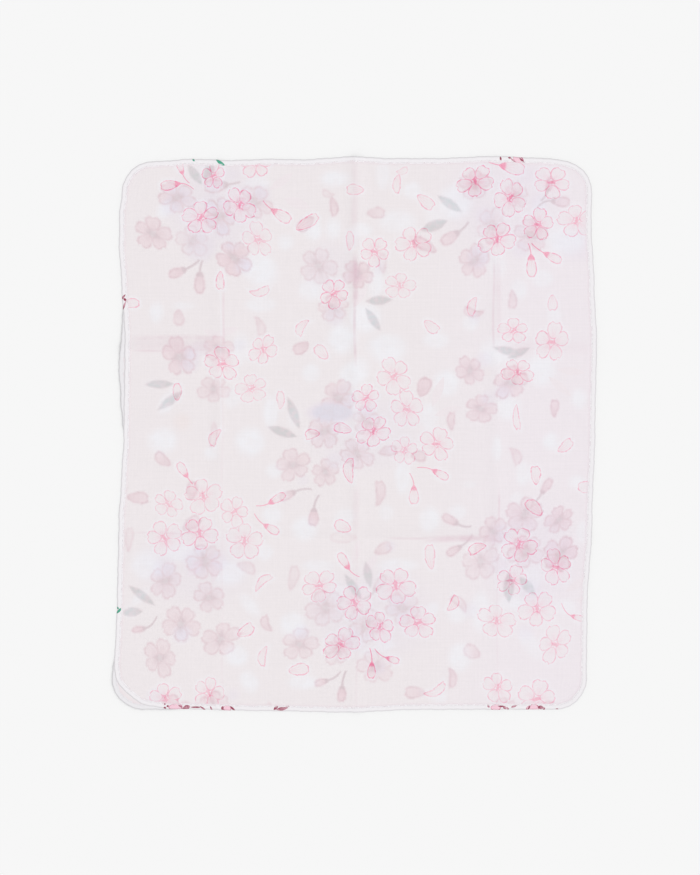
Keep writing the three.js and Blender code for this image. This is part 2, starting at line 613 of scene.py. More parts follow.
# Tones are how strongly a figure shows on the front ply and on the back one.
# Rows of x, y, radius, turn, and the two tones
BLOSSOMS = (
    (-89, 163.5, 9, 90, 1, 0.6),
    (-62.5, 171, 10.5, 235, 0.8, 0.75),
    (-72.5, 145, 12, 50, 1, 0.55),
    (-97, 137, 12.3, 94, 1, 0.7),
    (-61, 123, 12, 98, 0.6, 0.75),
    (76.2, 160, 12.3, 56, 1, 0.7),
    (98.3, 149.5, 12.5, 42, 1, 0.85),
    (124.5, 159.3, 12.5, 58, 0.85, 0.8),
    (115.7, 132.5, 10.8, 82, 1, 0.5),
    (90, 123.3, 12.5, 60, 1, 0.9),
    (140.3, 135, 12.5, 97, 0.75, 0.8),
    (12.7, 115.4, 10, 54, 0.8, 0.8),
    (37.5, 120.5, 12.5, 40, 0.75, 0.62),
    (28.5, 94, 10.3, 78, 0.6, 0.65),
    (-13, 89, 10.3, 58, 0.95, 0),
    (-83.5, 44.5, 12.4, 92, 0.9, 0.75),
    (-57.8, 53.5, 10.4, 60, 0.75, 0.75),
    (-65, 29, 11, 30, 0.65, 0.75),
    (100.2, 65.5, 10.2, 90, 0.75, 0.7),
    (124.5, 58.3, 13, 82, 0.8, 0.8),
    (103, 39.5, 10.6, 50, 0.85, 0.65),
    (25, 37, 12.3, 45, 0.7, 0.75),
    (7.2, 22.8, 9.8, 90, 0.9, 0.7),
    (33, 15.7, 12.5, 92, 0.7, 0.75),
    (12, 2, 11.8, 56, 0.95, 0.75),
    (31.5, -10, 9.5, 86, 0.6, 0.7),
    (52, -6, 12, 75, 0.8, 0.7),
    (-117.7, -44, 10.3, 76, 0.6, 0.85),
    (-95.5, -39, 12.3, 97, 0.7, 0.8),
    (-76, -48.7, 10.2, 71, 0.65, 0.7),
    (-120, -65.5, 12.2, 37, 0.75, 0.95),
    (-97.8, -62.5, 11.8, 61, 0.85, 0.7),
    (-69.5, -67.3, 12.3, 85, 0.7, 0.6),
    (-22.3, -95.5, 12.4, 56, 0.75, 0.6),
    (0, -106, 12.2, 42, 0.9, 0.65),
    (26, -95.5, 12.9, 62, 0.85, 0.65),
    (16, -121.5, 10.6, 85, 0.95, 0.6),
    (40.3, -119, 12.5, 94, 0.9, 0.65),
    (-8.5, -132.5, 12.6, 75, 0.95, 0.6),
    (103.8, -69.5, 12, 63, 0.9, 0.75),
    (127.3, -83.8, 12.2, 27, 0.9, 0.75),
    (99.3, -92.2, 10.8, 73, 0.85, 0.7),
    (115.3, -110, 12.6, 50, 0.75, 0.72),
    (89.8, -117.7, 12.9, 87, 0.7, 0.7),
    (126.5, -132.5, 12.8, 31, 0.65, 0.7),
    (-119.5, -166.5, 10.5, 28, 0.7, 0.7),
    (-92, -163.3, 11, 76, 0.7, 0.7),
    (90.5, -160, 10.6, 91, 0.7, 0.7),
    (115.2, -167, 12.8, 79, 0.75, 0.7),
)

# Rows of calyx x, y, petal tip x, y, stem start x, y, and the two tones
BUDS = (
    (-108.5, 164.5, -111.5, 173.5, -104, 158.5, 0.9, 0.8),
    (-110.5, 158.5, -123, 156.5, -101, 154.5, 1, 0.8),
    (-52, 142, -40, 134.5, -58, 148, 0.85, 0.8),
    (111.5, 113.5, 112, 99, 109.5, 121, 0.9, 0.85),
    (120, 114.5, 131, 109, 111.5, 121, 0.9, 0.9),
    (92, 170, 108, 167, 84.5, 172, 1, 0.8),
    (-105.5, -27, -111.5, -17.5, -102, -31.5, 0.8, 0.8),
    (-54, -43.5, -43.5, -37.5, -62.5, -45, 0.85, 0.8),
    (-57, -57, -47.5, -62.5, -63.5, -49.5, 0.8, 0.8),
    (37.5, -32.5, 37.5, -44.5, 34.5, -24, 0.8, 0.95),
    (49.5, -22.5, 59.5, -28, 39, -21, 0.85, 0.8),
    (-3.5, -85, -10, -74.5, 3.5, -90, 0.9, 0.6),
    (11, -144, 10.5, -154.5, 9.5, -134.5, 1, 0.95),
    (20, -141, 28.5, -143.5, 12.5, -135, 1, 0.85),
    (137, -114.5, 145.5, -117, 130.5, -106, 0.8, 0.9),
)

# Rows of x, y, length, width, turn, bend, and the two tones
PETALS = (
    (-141.5, 82.8, 12.5, 6, 0, 0, 0.9, 0.3),
    (-85, 97, 12.5, 5.5, 270, 0.1, 0.9, 0.7),
    (0.2, 154.5, 11.5, 7, 180, 0, 0.7, 0.7),
    (26.6, 158.2, 12.5, 5, 265, 0.15, 0.75, 0.8),
    (30.5, 166, 8, 4.5, 20, 0.3, 0.5, 0.5),
    (45, 147, 13.5, 7.5, -38, 0, 0.75, 0.75),
    (-29.7, 134, 17, 7, 33, 0, 0.9, 0.8),
    (-2.7, 122.5, 12.5, 5, 90, 0.1, 0.6, 0.5),
    (-59.3, 89.5, 13.5, 5.5, 15, 0.35, 0.75, 0.8),
    (-34, 68, 12.5, 5.5, 240, 0.35, 0.75, 0),
    (-21, 52, 11.5, 7, 135, 0, 0.7, 0),
    (73.8, 81, 13, 5.5, 255, 0.25, 0.75, 0.6),
    (125, 83, 10.5, 6.5, 270, 0, 0.6, 0.7),
    (48.5, 68, 11.5, 7, -35, 0.1, 0.75, 0.85),
    (-112, 27, 11.5, 5.5, 90, 0, 0.9, 0.8),
    (-46.5, 22, 12, 5, 90, 0.1, 0.6, 0.75),
    (102, 10.5, 17, 4.5, 275, 0.12, 0.7, 0.5),
    (-89, -1.5, 12.5, 5.5, 245, 0.35, 0.8, 0.6),
    (-7.5, -58, 11.5, 7.5, 155, 0, 0.85, 0.7),
    (-58.5, -92.5, 15, 5, 42, -0.3, 0.75, 0.6),
    (-68.5, -124, 12.5, 7.5, 35, 0.1, 0.85, 0.65),
    (-58.5, -140, 13.5, 5, 260, 0.3, 0.65, 0.8),
    (-35, -148.5, 13.5, 7.5, 5, 0, 0.8, 0.75),
    (133.5, -7.5, 12, 6.5, 40, 0.15, 0.8, 0.8),
    (114.5, -25.5, 12.5, 6.5, 95, 0.05, 0.85, 0.8),
    (113.5, -46, 13.5, 7.5, 140, 0.1, 0.95, 0.8),
    (147.5, -33, 14, 7.5, 180, 0, 0.8, 0.8),
    (77, -71.5, 12.5, 6.5, 205, 0.2, 0.95, 0.6),
    (47.5, -77, 16.5, 6.5, 95, -0.1, 0.75, 0.55),
    (63, -107, 11.5, 5.5, 62, 0.35, 0.9, 0.75),
    (52, -162.5, 16, 5.5, 30, 0.4, 0.75, 0.5),
    (-27, 0.5, 10, 6.5, 195, 0.2, 0.9, 0.8),
    (-7.5, 4, 12, 6.5, 170, 0.1, 1, 0.8),
    (-4, -22.5, 16.5, 6.5, 90, -0.25, 0.95, 0.75),
    (-29, 44, 13, 8.5, 115, 0, 0, 0.9),
    (18.3, -51, 17, 7, 0, 0, 0, 0.35),
    (151.6, -59.4, 16, 5, 90, 0, 0, 0.5),
)

# Rows of stalk x, y, tip x, y, width
LEAVES = (
    (109, 169, 116.5, 180.5, 5.5),
    (107, 171.5, 101, 184, 5.5),
    (-39, 165, -53.5, 154.5, 5.5),
    (-44.5, 149, -27.5, 143, 6.5),
    (8, 98.5, -8.5, 99.5, 5.5),
    (8, 94, -1, 80, 5),
    (128, 41, 145.5, 39, 5),
    (122.5, 36.5, 137, 24, 5),
    (49, 17.5, 56.5, 36.5, 5.5),
    (50.5, 12, 68.5, 17.5, 5.5),
    (-73, 67.5, -90.5, 62, 5),
    (-82, 60.5, -95.5, 66, 5),
    (133, -99.5, 149.5, -89, 5),
    (153, -106.5, 140, -104, 5.5),
    (-89.5, -94, -87.5, -75, 6.5),
    (-105.5, -90, -95, -78.5, 5.5),
    (4, -89.5, 15.5, -74.5, 5),
    (-1, -82, 3, -66.5, 5),
)

# What shows of the printed side where the hem is turned. Rows of kind, x, y, half length, half width, turn
MARGIN = (
    (Kind.LEAF, -84.4, 171.3, 4, 1.1, -37),
    (Kind.LEAF, -101.6, 173.2, 1, 0.6, -45),
    (Kind.STROKE, 92.3, 174.1, 1.5, 0.6, -80),
    (Kind.STROKE, 98, 174.7, 1.1, 0.6, -10),
    (Kind.STROKE, 100, 173.2, 2, 0.5, -42),
    (Kind.PETAL, 103.3, 173.5, 3.8, 2.5, -43),
    (Kind.STROKE, 105.9, 173, 2.8, 0.6, -43),
    (Kind.STROKE, -146.1, 86.7, 2.4, 0.6, 50),
    (Kind.STROKE, -144.7, 85, 1.8, 0.8, -40),
    (Kind.STROKE, -145.5, 81.2, 3, 0.6, 70),
    (Kind.LEAF, -148.6, -111.2, 2.5, 0.8, 48),
    (Kind.LEAF, -149.6, -109.5, 1.1, 0.6, -35),
    (Kind.STROKE, -119.8, -170.2, 0.7, 0.7, 0),
    (Kind.STROKE, -119.8, -172.7, 0.9, 0.8, 0),
    (Kind.STROKE, -118, -171.5, 0.8, 0.6, 30),
    (Kind.PETAL, -113.1, -172.2, 4.4, 2.5, 0),
    (Kind.STROKE, -110.3, -171.3, 1.8, 0.6, -42),
    (Kind.STROKE, -106.2, -172.4, 2.7, 1.5, 20),
    (Kind.STROKE, -100.2, -172.2, 3.5, 0.5, 0),
    (Kind.STROKE, -95.7, -172.9, 2.5, 0.5, -35),
    (Kind.STROKE, -90.4, -173.2, 1.9, 0.5, -65),
    (Kind.STROKE, -83.4, -172.7, 1.4, 0.8, 80),
    (Kind.PETAL, -80.6, -172.9, 2.8, 1.9, 0),
    (Kind.STROKE, -77, -173, 2.4, 0.6, -40),
    (Kind.STROKE, -49.6, -172.5, 2.1, 0.9, 45),
    (Kind.STROKE, -45.8, -173.2, 3.8, 1.1, 8),
    (Kind.STROKE, -42.3, -171.6, 1.6, 0.8, 35),
    (Kind.STROKE, 84.6, -171.6, 1.1, 0.7, -60),
    (Kind.PETAL, 89.1, -172.5, 3.2, 2.1, 0),
    (Kind.STROKE, 92.5, -171.5, 2.1, 0.7, -5),
    (Kind.STROKE, 94.8, -172.4, 1.4, 0.9, -50),
    (Kind.STROKE, 96.7, -173, 1.3, 0.6, -50),
    (Kind.STROKE, 100.8, -171.6, 2.1, 0.7, 20),
    (Kind.PETAL, 112.5, -172.9, 4.1, 2.5, 0),
    (Kind.STROKE, 110.2, -172.5, 1.8, 0.5, 60),
    (Kind.STROKE, 117.6, -172.3, 2.1, 1.1, -8),
    (Kind.STROKE, 119.6, -173.5, 1.5, 0.5, 60),
    (Kind.STROKE, 128, -173.5, 1, 0.6, -20),
)

# Soft patches of colour, as they lie. Rows of x, y, half width, half height, turn, strength.
# Pale places of the front ply
CLEARINGS = (
    (-92.5, 169.5, 9, 5, 0, 0.5), (-120.5, 141.5, 5, 4.5, 40, 0.8), (-61, 159, 9, 3, 0, 0.6),
    (-12.5, 161.5, 9.5, 5, 0, 0.9), (-13.5, 130, 5, 7, 0, 0.8), (-26, 129, 5.5, 6.5, 0, 0.9),
    (-43.5, 121.5, 5.5, 5, 0, 0.7), (-59.5, 104, 11.5, 9.5, -30, 1), (-59.5, 82, 9.5, 4.5, 0, 0.8),
    (-28, 91.5, 7, 7, 0, 0.8), (-7.5, 60.5, 9, 9.5, 0, 1), (-27.5, 39, 5.5, 5.5, 0, 0.8),
    (-125, 77, 4.5, 6.5, 0, 0.8), (-108.5, 81, 7.5, 2.5, 0, 0.5), (-71.5, 54.5, 5.5, 9.5, 0, 0.7),
    (-118.5, 20, 4.5, 7.5, -30, 0.8), (-126, 32, 6.5, 3, 0, 0.4), (-77.5, 23, 5, 6.5, 0, 0.6),
    (-53, 14, 4.5, 10, 0, 0.9), (-1.5, 38, 8, 7, 0, 0.9), (2, 75, 5.5, 8, 0, 0.8),
    (-38, 11.5, 4, 6.5, 0, 0.6), (18, 164, 4.5, 9, 0, 0.7), (36.5, 154, 5.5, 5.5, 0, 0.9),
    (63.5, 146.5, 10.5, 10.5, 0, 1), (27.5, 134.5, 11.5, 7, 0, 0.7), (4, 129, 7, 4.5, 0, 0.8),
    (51.5, 137.5, 7.5, 5, 0, 0.5), (133.5, 122.5, 12, 9, 0, 1), (13.5, 95.5, 5, 9, 0, 0.8),
    (7.5, 73.5, 9, 9.5, 0, 0.95), (20.5, 54.5, 12, 9, 0, 0.9), (3.5, 41, 6.5, 8, 0, 0.7),
    (51.5, 59.5, 8, 5, 0, 0.8), (73, 70, 5, 5, 0, 0.7), (58, 32.5, 8, 8, 0, 0.95),
    (90, 52, 10.5, 9, 0, 0.8), (118, 41, 9, 10.5, 0, 0.95), (90.5, 106.5, 5.5, 8, 0, 0.5),
    (104, 91.5, 5, 6.5, 0, 0.7), (119, 98.5, 6.5, 5.5, 0, 0.7), (126.5, 75, 4.5, 5, 0, 0.6),
    (96.5, 16.5, 7.5, 7.5, 0, 0.8), (142, 22.5, 5, 6.5, 0, 0.8), (47.5, 11.5, 5.5, 9, 0, 0.7),
    (117, 144, 4, 6.5, 0, 0.5), (-121.5, -4, 9, 8, 0, 0.95), (-66, -4.5, 9, 9, 0, 0.95),
    (-90.5, -11.5, 4.5, 4.5, 0, 0.7), (-51, -23, 5, 4.5, 0, 0.7), (-31.5, -59.5, 8, 7.5, 0, 0.9),
    (-52, -51, 6.5, 5.5, 0, 0.8), (-6, -51.5, 7, 4.5, 0, 0.7), (-56.5, -74.5, 5, 5, 0, 0.8),
    (-131, -82, 10, 9.5, 0, 0.8), (-109, -75, 11.5, 5.5, 0, 0.7), (-79.5, -87.5, 10, 8, 0, 0.8),
    (-22.5, -83, 10.5, 4, 0, 0.6), (-135.5, -102.5, 7, 3, 45, 0.6), (-142, -112, 5, 4, 0, 0.6),
    (-66, -108, 9, 4, -50, 0.7), (-39, -120.5, 8, 8, 0, 0.95), (-75, -139.5, 8, 6.5, -30, 0.9),
    (-109.5, -126, 6.5, 5.5, 0, 0.4), (-66.5, -156, 7.5, 5.5, -60, 0.8),
    (-32.5, -156.5, 9.5, 4.5, 0, 0.9), (-11.5, -99.5, 5, 6.5, 0, 0.5), (30.5, -27, 5, 10.5, 0, 0.9),
    (90, -9, 3, 8, 0, 0.8), (124, -4.5, 5.5, 5.5, 0, 0.9), (106.5, -25, 4.5, 7.5, 0, 0.8),
    (140, -30, 5, 4.5, 0, 0.7), (102.5, -41, 4, 4.5, 0, 0.6), (20, -49.5, 4.5, 5, 0, 0.6),
    (47.5, -54, 6.5, 8, 0, 0.9), (65, -49, 5.5, 4.5, 0, 0.7), (27.5, -82.5, 12.5, 4, 0, 0.8),
    (144.5, -61.5, 4.5, 7.5, 0, 0.6), (79.5, -112, 6.5, 12.5, 0, 0.8), (99.5, -106.5, 7.5, 4.5, 0, 0.8),
    (113, -90.5, 5, 8, 0, 0.6), (66.5, -140.5, 7, 9, 0, 0.9), (65, -114, 6.5, 5, 0, 0.7),
    (47.5, -111.5, 7.5, 4, 40, 0.7), (111, -132, 5, 11.5, 35, 0.6), (133.5, -109, 6.5, 5, 0, 0.6),
    (15, -135, 11.5, 3, 15, 0.6), (53, -165.5, 5.5, 4.5, 0, 0.6), (72.5, -31.5, 4.5, 2.5, 0, 0.4),
)

# Lavender places of the back ply
LAVENDER = (
    (-88, 144, 31, 26, 0, 0.32), (96, 147, 36, 30, 0, 0.24), (112, -78, 28, 32, 0, 0.24),
    (10, -114, 38, 30, 0, 0.3), (-100, -82, 36, 26, 0, 0.22), (8, 2, 34, 24, 0, 0.25),
    (140, 120, 14, 10, 0, 0.25), (-16, 106, 16, 16, 0, 0.2),
    (-14.5, 14, 14.5, 6, 0, 1), (-97.5, 118, 9.5, 9.5, 0, 0.41), (-111.5, 150.5, 5.5, 5.5, 0, 0.36),
    (-116.5, 144, 5.5, 5.5, 0, 0.36), (-58.5, 152, 5.5, 5.5, 0, 0.36), (-70.5, 107, 5.5, 5.5, 0, 0.36),
    (-77.5, 120, 4, 4, 0, 0.23), (-83.5, 128, 5, 5, 0, 0.27), (-90, 148, 5.5, 5.5, 0, 0.23),
    (-77.5, 166, 5.5, 5.5, 0, 0.23), (-12.5, 75, 6.5, 6.5, 0, 0.36), (-1.5, 123, 5.5, 5.5, 0, 0.18),
    (16, 105, 4, 4, 0, 0.27), (78.5, 112, 7, 7, 0, 0.41), (82, 138.5, 5.5, 5.5, 0, 0.32),
    (108, 164, 5.5, 5.5, 0, 0.23), (117, 146.5, 5.5, 5.5, 0, 0.27), (105, 116.5, 5.5, 5.5, 0, 0.27),
    (-104, 46, 6.5, 6.5, 0, 0.36), (-102.5, 52, 5, 5, 0, 0.32), (-97.5, 54.5, 5.5, 5.5, 0, 0.23),
    (-72.5, 56.5, 4, 4, 0, 0.23), (-6, 25, 7, 7, 0, 0.23), (8, 14, 5.5, 5.5, 0, 0.27),
    (94, 27, 5.5, 5.5, 0, 0.36), (82, 47.5, 5, 5, 0, 0.27), (84.5, 23, 5, 5, 0, 0.27),
    (76, 73.5, 3.5, 3.5, 0, 0.27), (-120, -84.5, 7, 7, 0, 0.36), (-100, -80, 8.5, 8.5, 0, 0.36),
    (-85.5, -79.5, 5.5, 5.5, 0, 0.36), (-109, -126.5, 5.5, 5.5, 0, 0.41), (-33, -125, 5, 5, 0, 0.32),
    (27.5, -109.5, 6.5, 6.5, 0, 0.32), (2, -130, 7, 7, 0, 0.23), (15.5, -147.5, 4, 4, 0, 0.36),
    (23, -70.5, 3.5, 3.5, 0, 0.32), (-12.5, -16.5, 5.5, 5.5, 0, 0.32), (-32.5, -29, 3.5, 3.5, 0, 0.23),
    (92, -63.5, 7, 7, 0, 0.32), (111, -98.5, 7, 7, 0, 0.27), (92, -82.5, 5.5, 5.5, 0, 0.27),
    (73, -111, 5, 5, 0, 0.23), (108, -125, 5.5, 5.5, 0, 0.23), (-126, -166, 5.5, 5.5, 0, 0.23),
    (-77, -164.5, 4, 4, 0, 0.27),
)

# Warm places of the back ply
WARM = (
    (-109, 8, 5.5, 5.5, 0, 1), (-32.5, -15.5, 4, 4, 0, 0.6), (-116, -97, 3, 3, 0, 0.5),
    (-120.5, -137, 4, 4, 0, 0.5), (83.5, 39, 2.5, 2.5, 0, 0.5),
)


def patches(x: Array, y: Array, rows: Sequence[Sequence[float]]) -> Array:
    """Soft oval patches that add up without passing one: one less the product of what each leaves.

    Args:
        x: places across.
        y: places along.
        rows: x, y, half width, half height, turn and strength of each patch.

    Returns:
        The patches' strength at each point, from 0 to 1.
    """
    left = np.ones_like(x)
    for middle_x, middle_y, half_width, half_height, turn, strength in rows:
        angle = math.radians(turn)
        u = (x - middle_x) * math.cos(angle) + (y - middle_y) * math.sin(angle)
        v = (y - middle_y) * math.cos(angle) - (x - middle_x) * math.sin(angle)
        away = np.hypot(u / half_width, v / half_height)
        left = left * (1 - strength * (1 - eased((away - WASH_CORE) / WASH_FADE)))
    return 1 - left


@dataclass(frozen=True)
class Print:
    """A layout of figures, and what of it each face of a mesh shows."""

    figures: tuple[Figure, ...]
    margin: float

    def chosen(self, x: Array, y: Array) -> Array:
        """The two nearest figures at each point, the one printed later first, or -1 for none.

        Args:
            x: places across, in the table.
            y: places along, in the table.

        Returns:
            Two rows of numbers of figures.
        """
        reach = np.array([figure.reach(x, y) for figure in self.figures])
        near = np.argsort(reach, axis=0)[:2]
        near = np.where(np.take_along_axis(reach, near, axis=0) < self.margin, near, -1)
        return np.sort(near, axis=0)[::-1]

    def attributes(self, x: Array, y: Array, quads: Array) -> dict[str, Array]:
        """What the materials need to draw the figures: each corner's place in, and the look of, two figures.

        Args:
            x: places across of the vertices, in the table.
            y: places along of the vertices, in the table.
            quads: the faces.

        Returns:
            Four numbers a corner under each attribute's name: u, v and the two half sizes for a place, and
            the kind, tone, notch and a number of its own for a look.
        """
        corner_x, corner_y = x[quads], y[quads]
        picks = self.chosen(corner_x.mean(axis=1), corner_y.mean(axis=1))
        found = {}
        for pick, place_name, look_name in zip(picks, (UPPER_PLACE, LOWER_PLACE), (UPPER_LOOK, LOWER_LOOK)):
            place = np.zeros((*quads.shape, 4))
            place[..., 2:] = 1.0
            look = np.zeros((*quads.shape, 4))
            for number in np.unique(pick[pick >= 0]):
                figure = self.figures[number]
                faces = pick == number
                u, v = figure.place(corner_x[faces], corner_y[faces])
                sizes = np.broadcast_to((figure.half_length, figure.half_width), (*u.shape, 2))
                place[faces] = np.concatenate([u[..., None], v[..., None], sizes], axis=-1)
                look[faces] = (figure.kind, figure.tone, figure.notch, 1.7 * number)
            found[place_name] = place
            found[look_name] = look
        return found


def cloth_print(ply: Ply) -> Print:
    """The print as a ply shows it: of a row's two tones, the front ply takes the first.

    Args:
        ply: which panel.

    Returns:
        The print.
    """
    at = -2 if ply is Ply.FRONT else -1
    figures = [leaf(*row) for row in LEAVES]
    for make, rows in ((bud, BUDS), (petal, PETALS), (blossom, BLOSSOMS)):
        figures += [make(*row[:-2], row[at]) for row in rows if row[at] > 0]
    return Print(tuple(figures), margin=3.6)


def hem_print() -> Print:
    """What the turned hem shows of the printed side."""
    fills = sorted(MARGIN, key=lambda row: row[0] is not Kind.PETAL)
    return Print(tuple(Figure(*row) for row in fills), margin=1.6)


def make_mesh(name: str, points: Array, quads: Array) -> bpy.types.Object:
    """Makes a smooth mesh object from points in millimetres about the cut panel's middle.

    Args:
        name: the piece's name.
        points: one row of x, y, z for each vertex.
        quads: one row of four vertices for each face, counter-clockwise from outside.

    Returns:
        The object, in the scene, with its place in its mesh.
    """
    middle = PANEL.middle()
    moved = (points - (*middle, 0.0)) * MM
    mesh = bpy.data.meshes.new(name)
    mesh.from_pydata(moved.tolist(), [], quads.tolist())
    mesh.polygons.foreach_set("use_smooth", np.ones(len(quads), dtype=bool))
    mesh.update()
    made = bpy.data.objects.new(name, mesh)
    bpy.context.scene.collection.objects.link(made)
    return made


def put_attribute(mesh: bpy.types.Mesh, name: str, domain: str, values: Array) -> None:
    """Writes numbers of a point or a corner to a mesh: three as a vector, four as a colour.

    Args:
        mesh: the mesh.
        name: the attribute's name.
        domain: POINT or CORNER.
        values: the numbers, with their parts along the last axis.
    """
    colour = values.shape[-1] == 4
    made = mesh.attributes.new(name, "FLOAT_COLOR" if colour else "FLOAT_VECTOR", domain)
    made.data.foreach_set("color" if colour else "vector", values.astype(np.float32).ravel())


def ring_quads(rings: int, sides: int) -> Array:
    """Faces of a closed tube: rings round a closed path, with sides points each.

    Args:
        rings: how many rings.
        sides: how many points in one.

    Returns:
        One row of four vertices for each face.
    """
    ring, side = np.meshgrid(np.arange(rings), np.arange(sides), indexing="ij")
    next_ring, next_side = (ring + 1) % rings, (side + 1) % sides
    corners = [ring * sides + side, next_ring * sides + side]
    corners += [next_ring * sides + next_side, ring * sides + next_side]
    return np.stack(corners, axis=-1).reshape(-1, 4)


@dataclass(frozen=True)
class GauzeSheet:
    """One ply's gauze as a thin closed shell: a grid of threads above and below, and a wall all round."""

    ply: Ply
    columns: int = 150
    rows: int = 175
    rim: float = 0.9

    @property
    def name(self) -> str:
        """Name of the piece."""
        return f"{self.ply.value}_gauze"

    @property
    def above(self) -> "Face":
        """The side of the gauze that is turned up."""
        return Face.WRONG if self.ply is Ply.FRONT else Face.PRINTED

    def grid(self) -> tuple[Array, Array]:
        """Straight places of the threads that the mesh follows, row by row.

        Returns:
            The places across and along.
        """
        half_x, half_y = PANEL.width / 2 - self.rim, PANEL.length / 2 - self.rim
        across = np.linspace(-half_x, half_x, self.columns + 1)
        along = np.linspace(-half_y, half_y, self.rows + 1)
        x, y = np.meshgrid(across, along)
        return x.ravel(), y.ravel()

    def quads(self) -> Array:
        """Faces of the shell: the upper grid, the lower one turned round, and the wall.

        Returns:
            One row of four vertices for each face.
        """
        wide = self.columns + 1
        count = wide * (self.rows + 1)
        at = np.arange(count).reshape(self.rows + 1, wide)
        cells = [at[:-1, :-1], at[:-1, 1:], at[1:, 1:], at[1:, :-1]]
        upper = np.stack(cells, axis=-1).reshape(-1, 4)
        round_rim = np.concatenate([at[0, :-1], at[:-1, -1], at[-1, :0:-1], at[:0:-1, 0]])
        after = np.roll(round_rim, -1)
        wall = np.stack([round_rim + count, after + count, after, round_rim], axis=-1)
        return np.concatenate([upper, upper[:, ::-1] + count, wall])

    def build(self, pattern: Print) -> bpy.types.Object:
        """Makes the sheet with its print, its washes of colour and the run of its threads.

        Args:
            pattern: the print.

        Returns:
            The piece, without materials.
        """
        x, y = self.grid()
        place_x, place_y = PANEL.pulled(x, y, self.ply)
        low = PANEL.underside(x, y, self.ply)
        upper = np.stack([place_x, place_y, low + PANEL.gauze], axis=-1)
        lower = np.stack([place_x, place_y, low], axis=-1)
        quads = self.quads()
        made = make_mesh(self.name, np.concatenate([upper, lower]), quads)
        table_x, table_y = (np.tile(part, 2) for part in PANEL.on_front(place_x, place_y, self.ply))
        for name, values in pattern.attributes(table_x, table_y, quads).items():
            put_attribute(made.data, name, "CORNER", values)
        put_attribute(made.data, WASH, "POINT", np.tile(self.washes(place_x, place_y), (2, 1)))
        threads = np.stack([np.tile(x, 2), np.tile(y, 2), np.zeros(2 * len(x))], axis=-1)
        put_attribute(made.data, THREADS, "POINT", threads)
        cells = self.columns * self.rows
        slots = np.zeros(len(quads), dtype=np.int32)
        slots[cells : 2 * cells] = 1
        made.data.polygons.foreach_set("material_index", slots)
        return made

    def washes(self, x: Array, y: Array) -> Array:
        """Three soft shares of colour: pale on the front ply, lavender and warm on the back one."""
        rows = (CLEARINGS, (), ()) if self.ply is Ply.FRONT else ((), LAVENDER, WARM)
        return np.stack([patches(x, y, part) for part in rows], axis=-1)


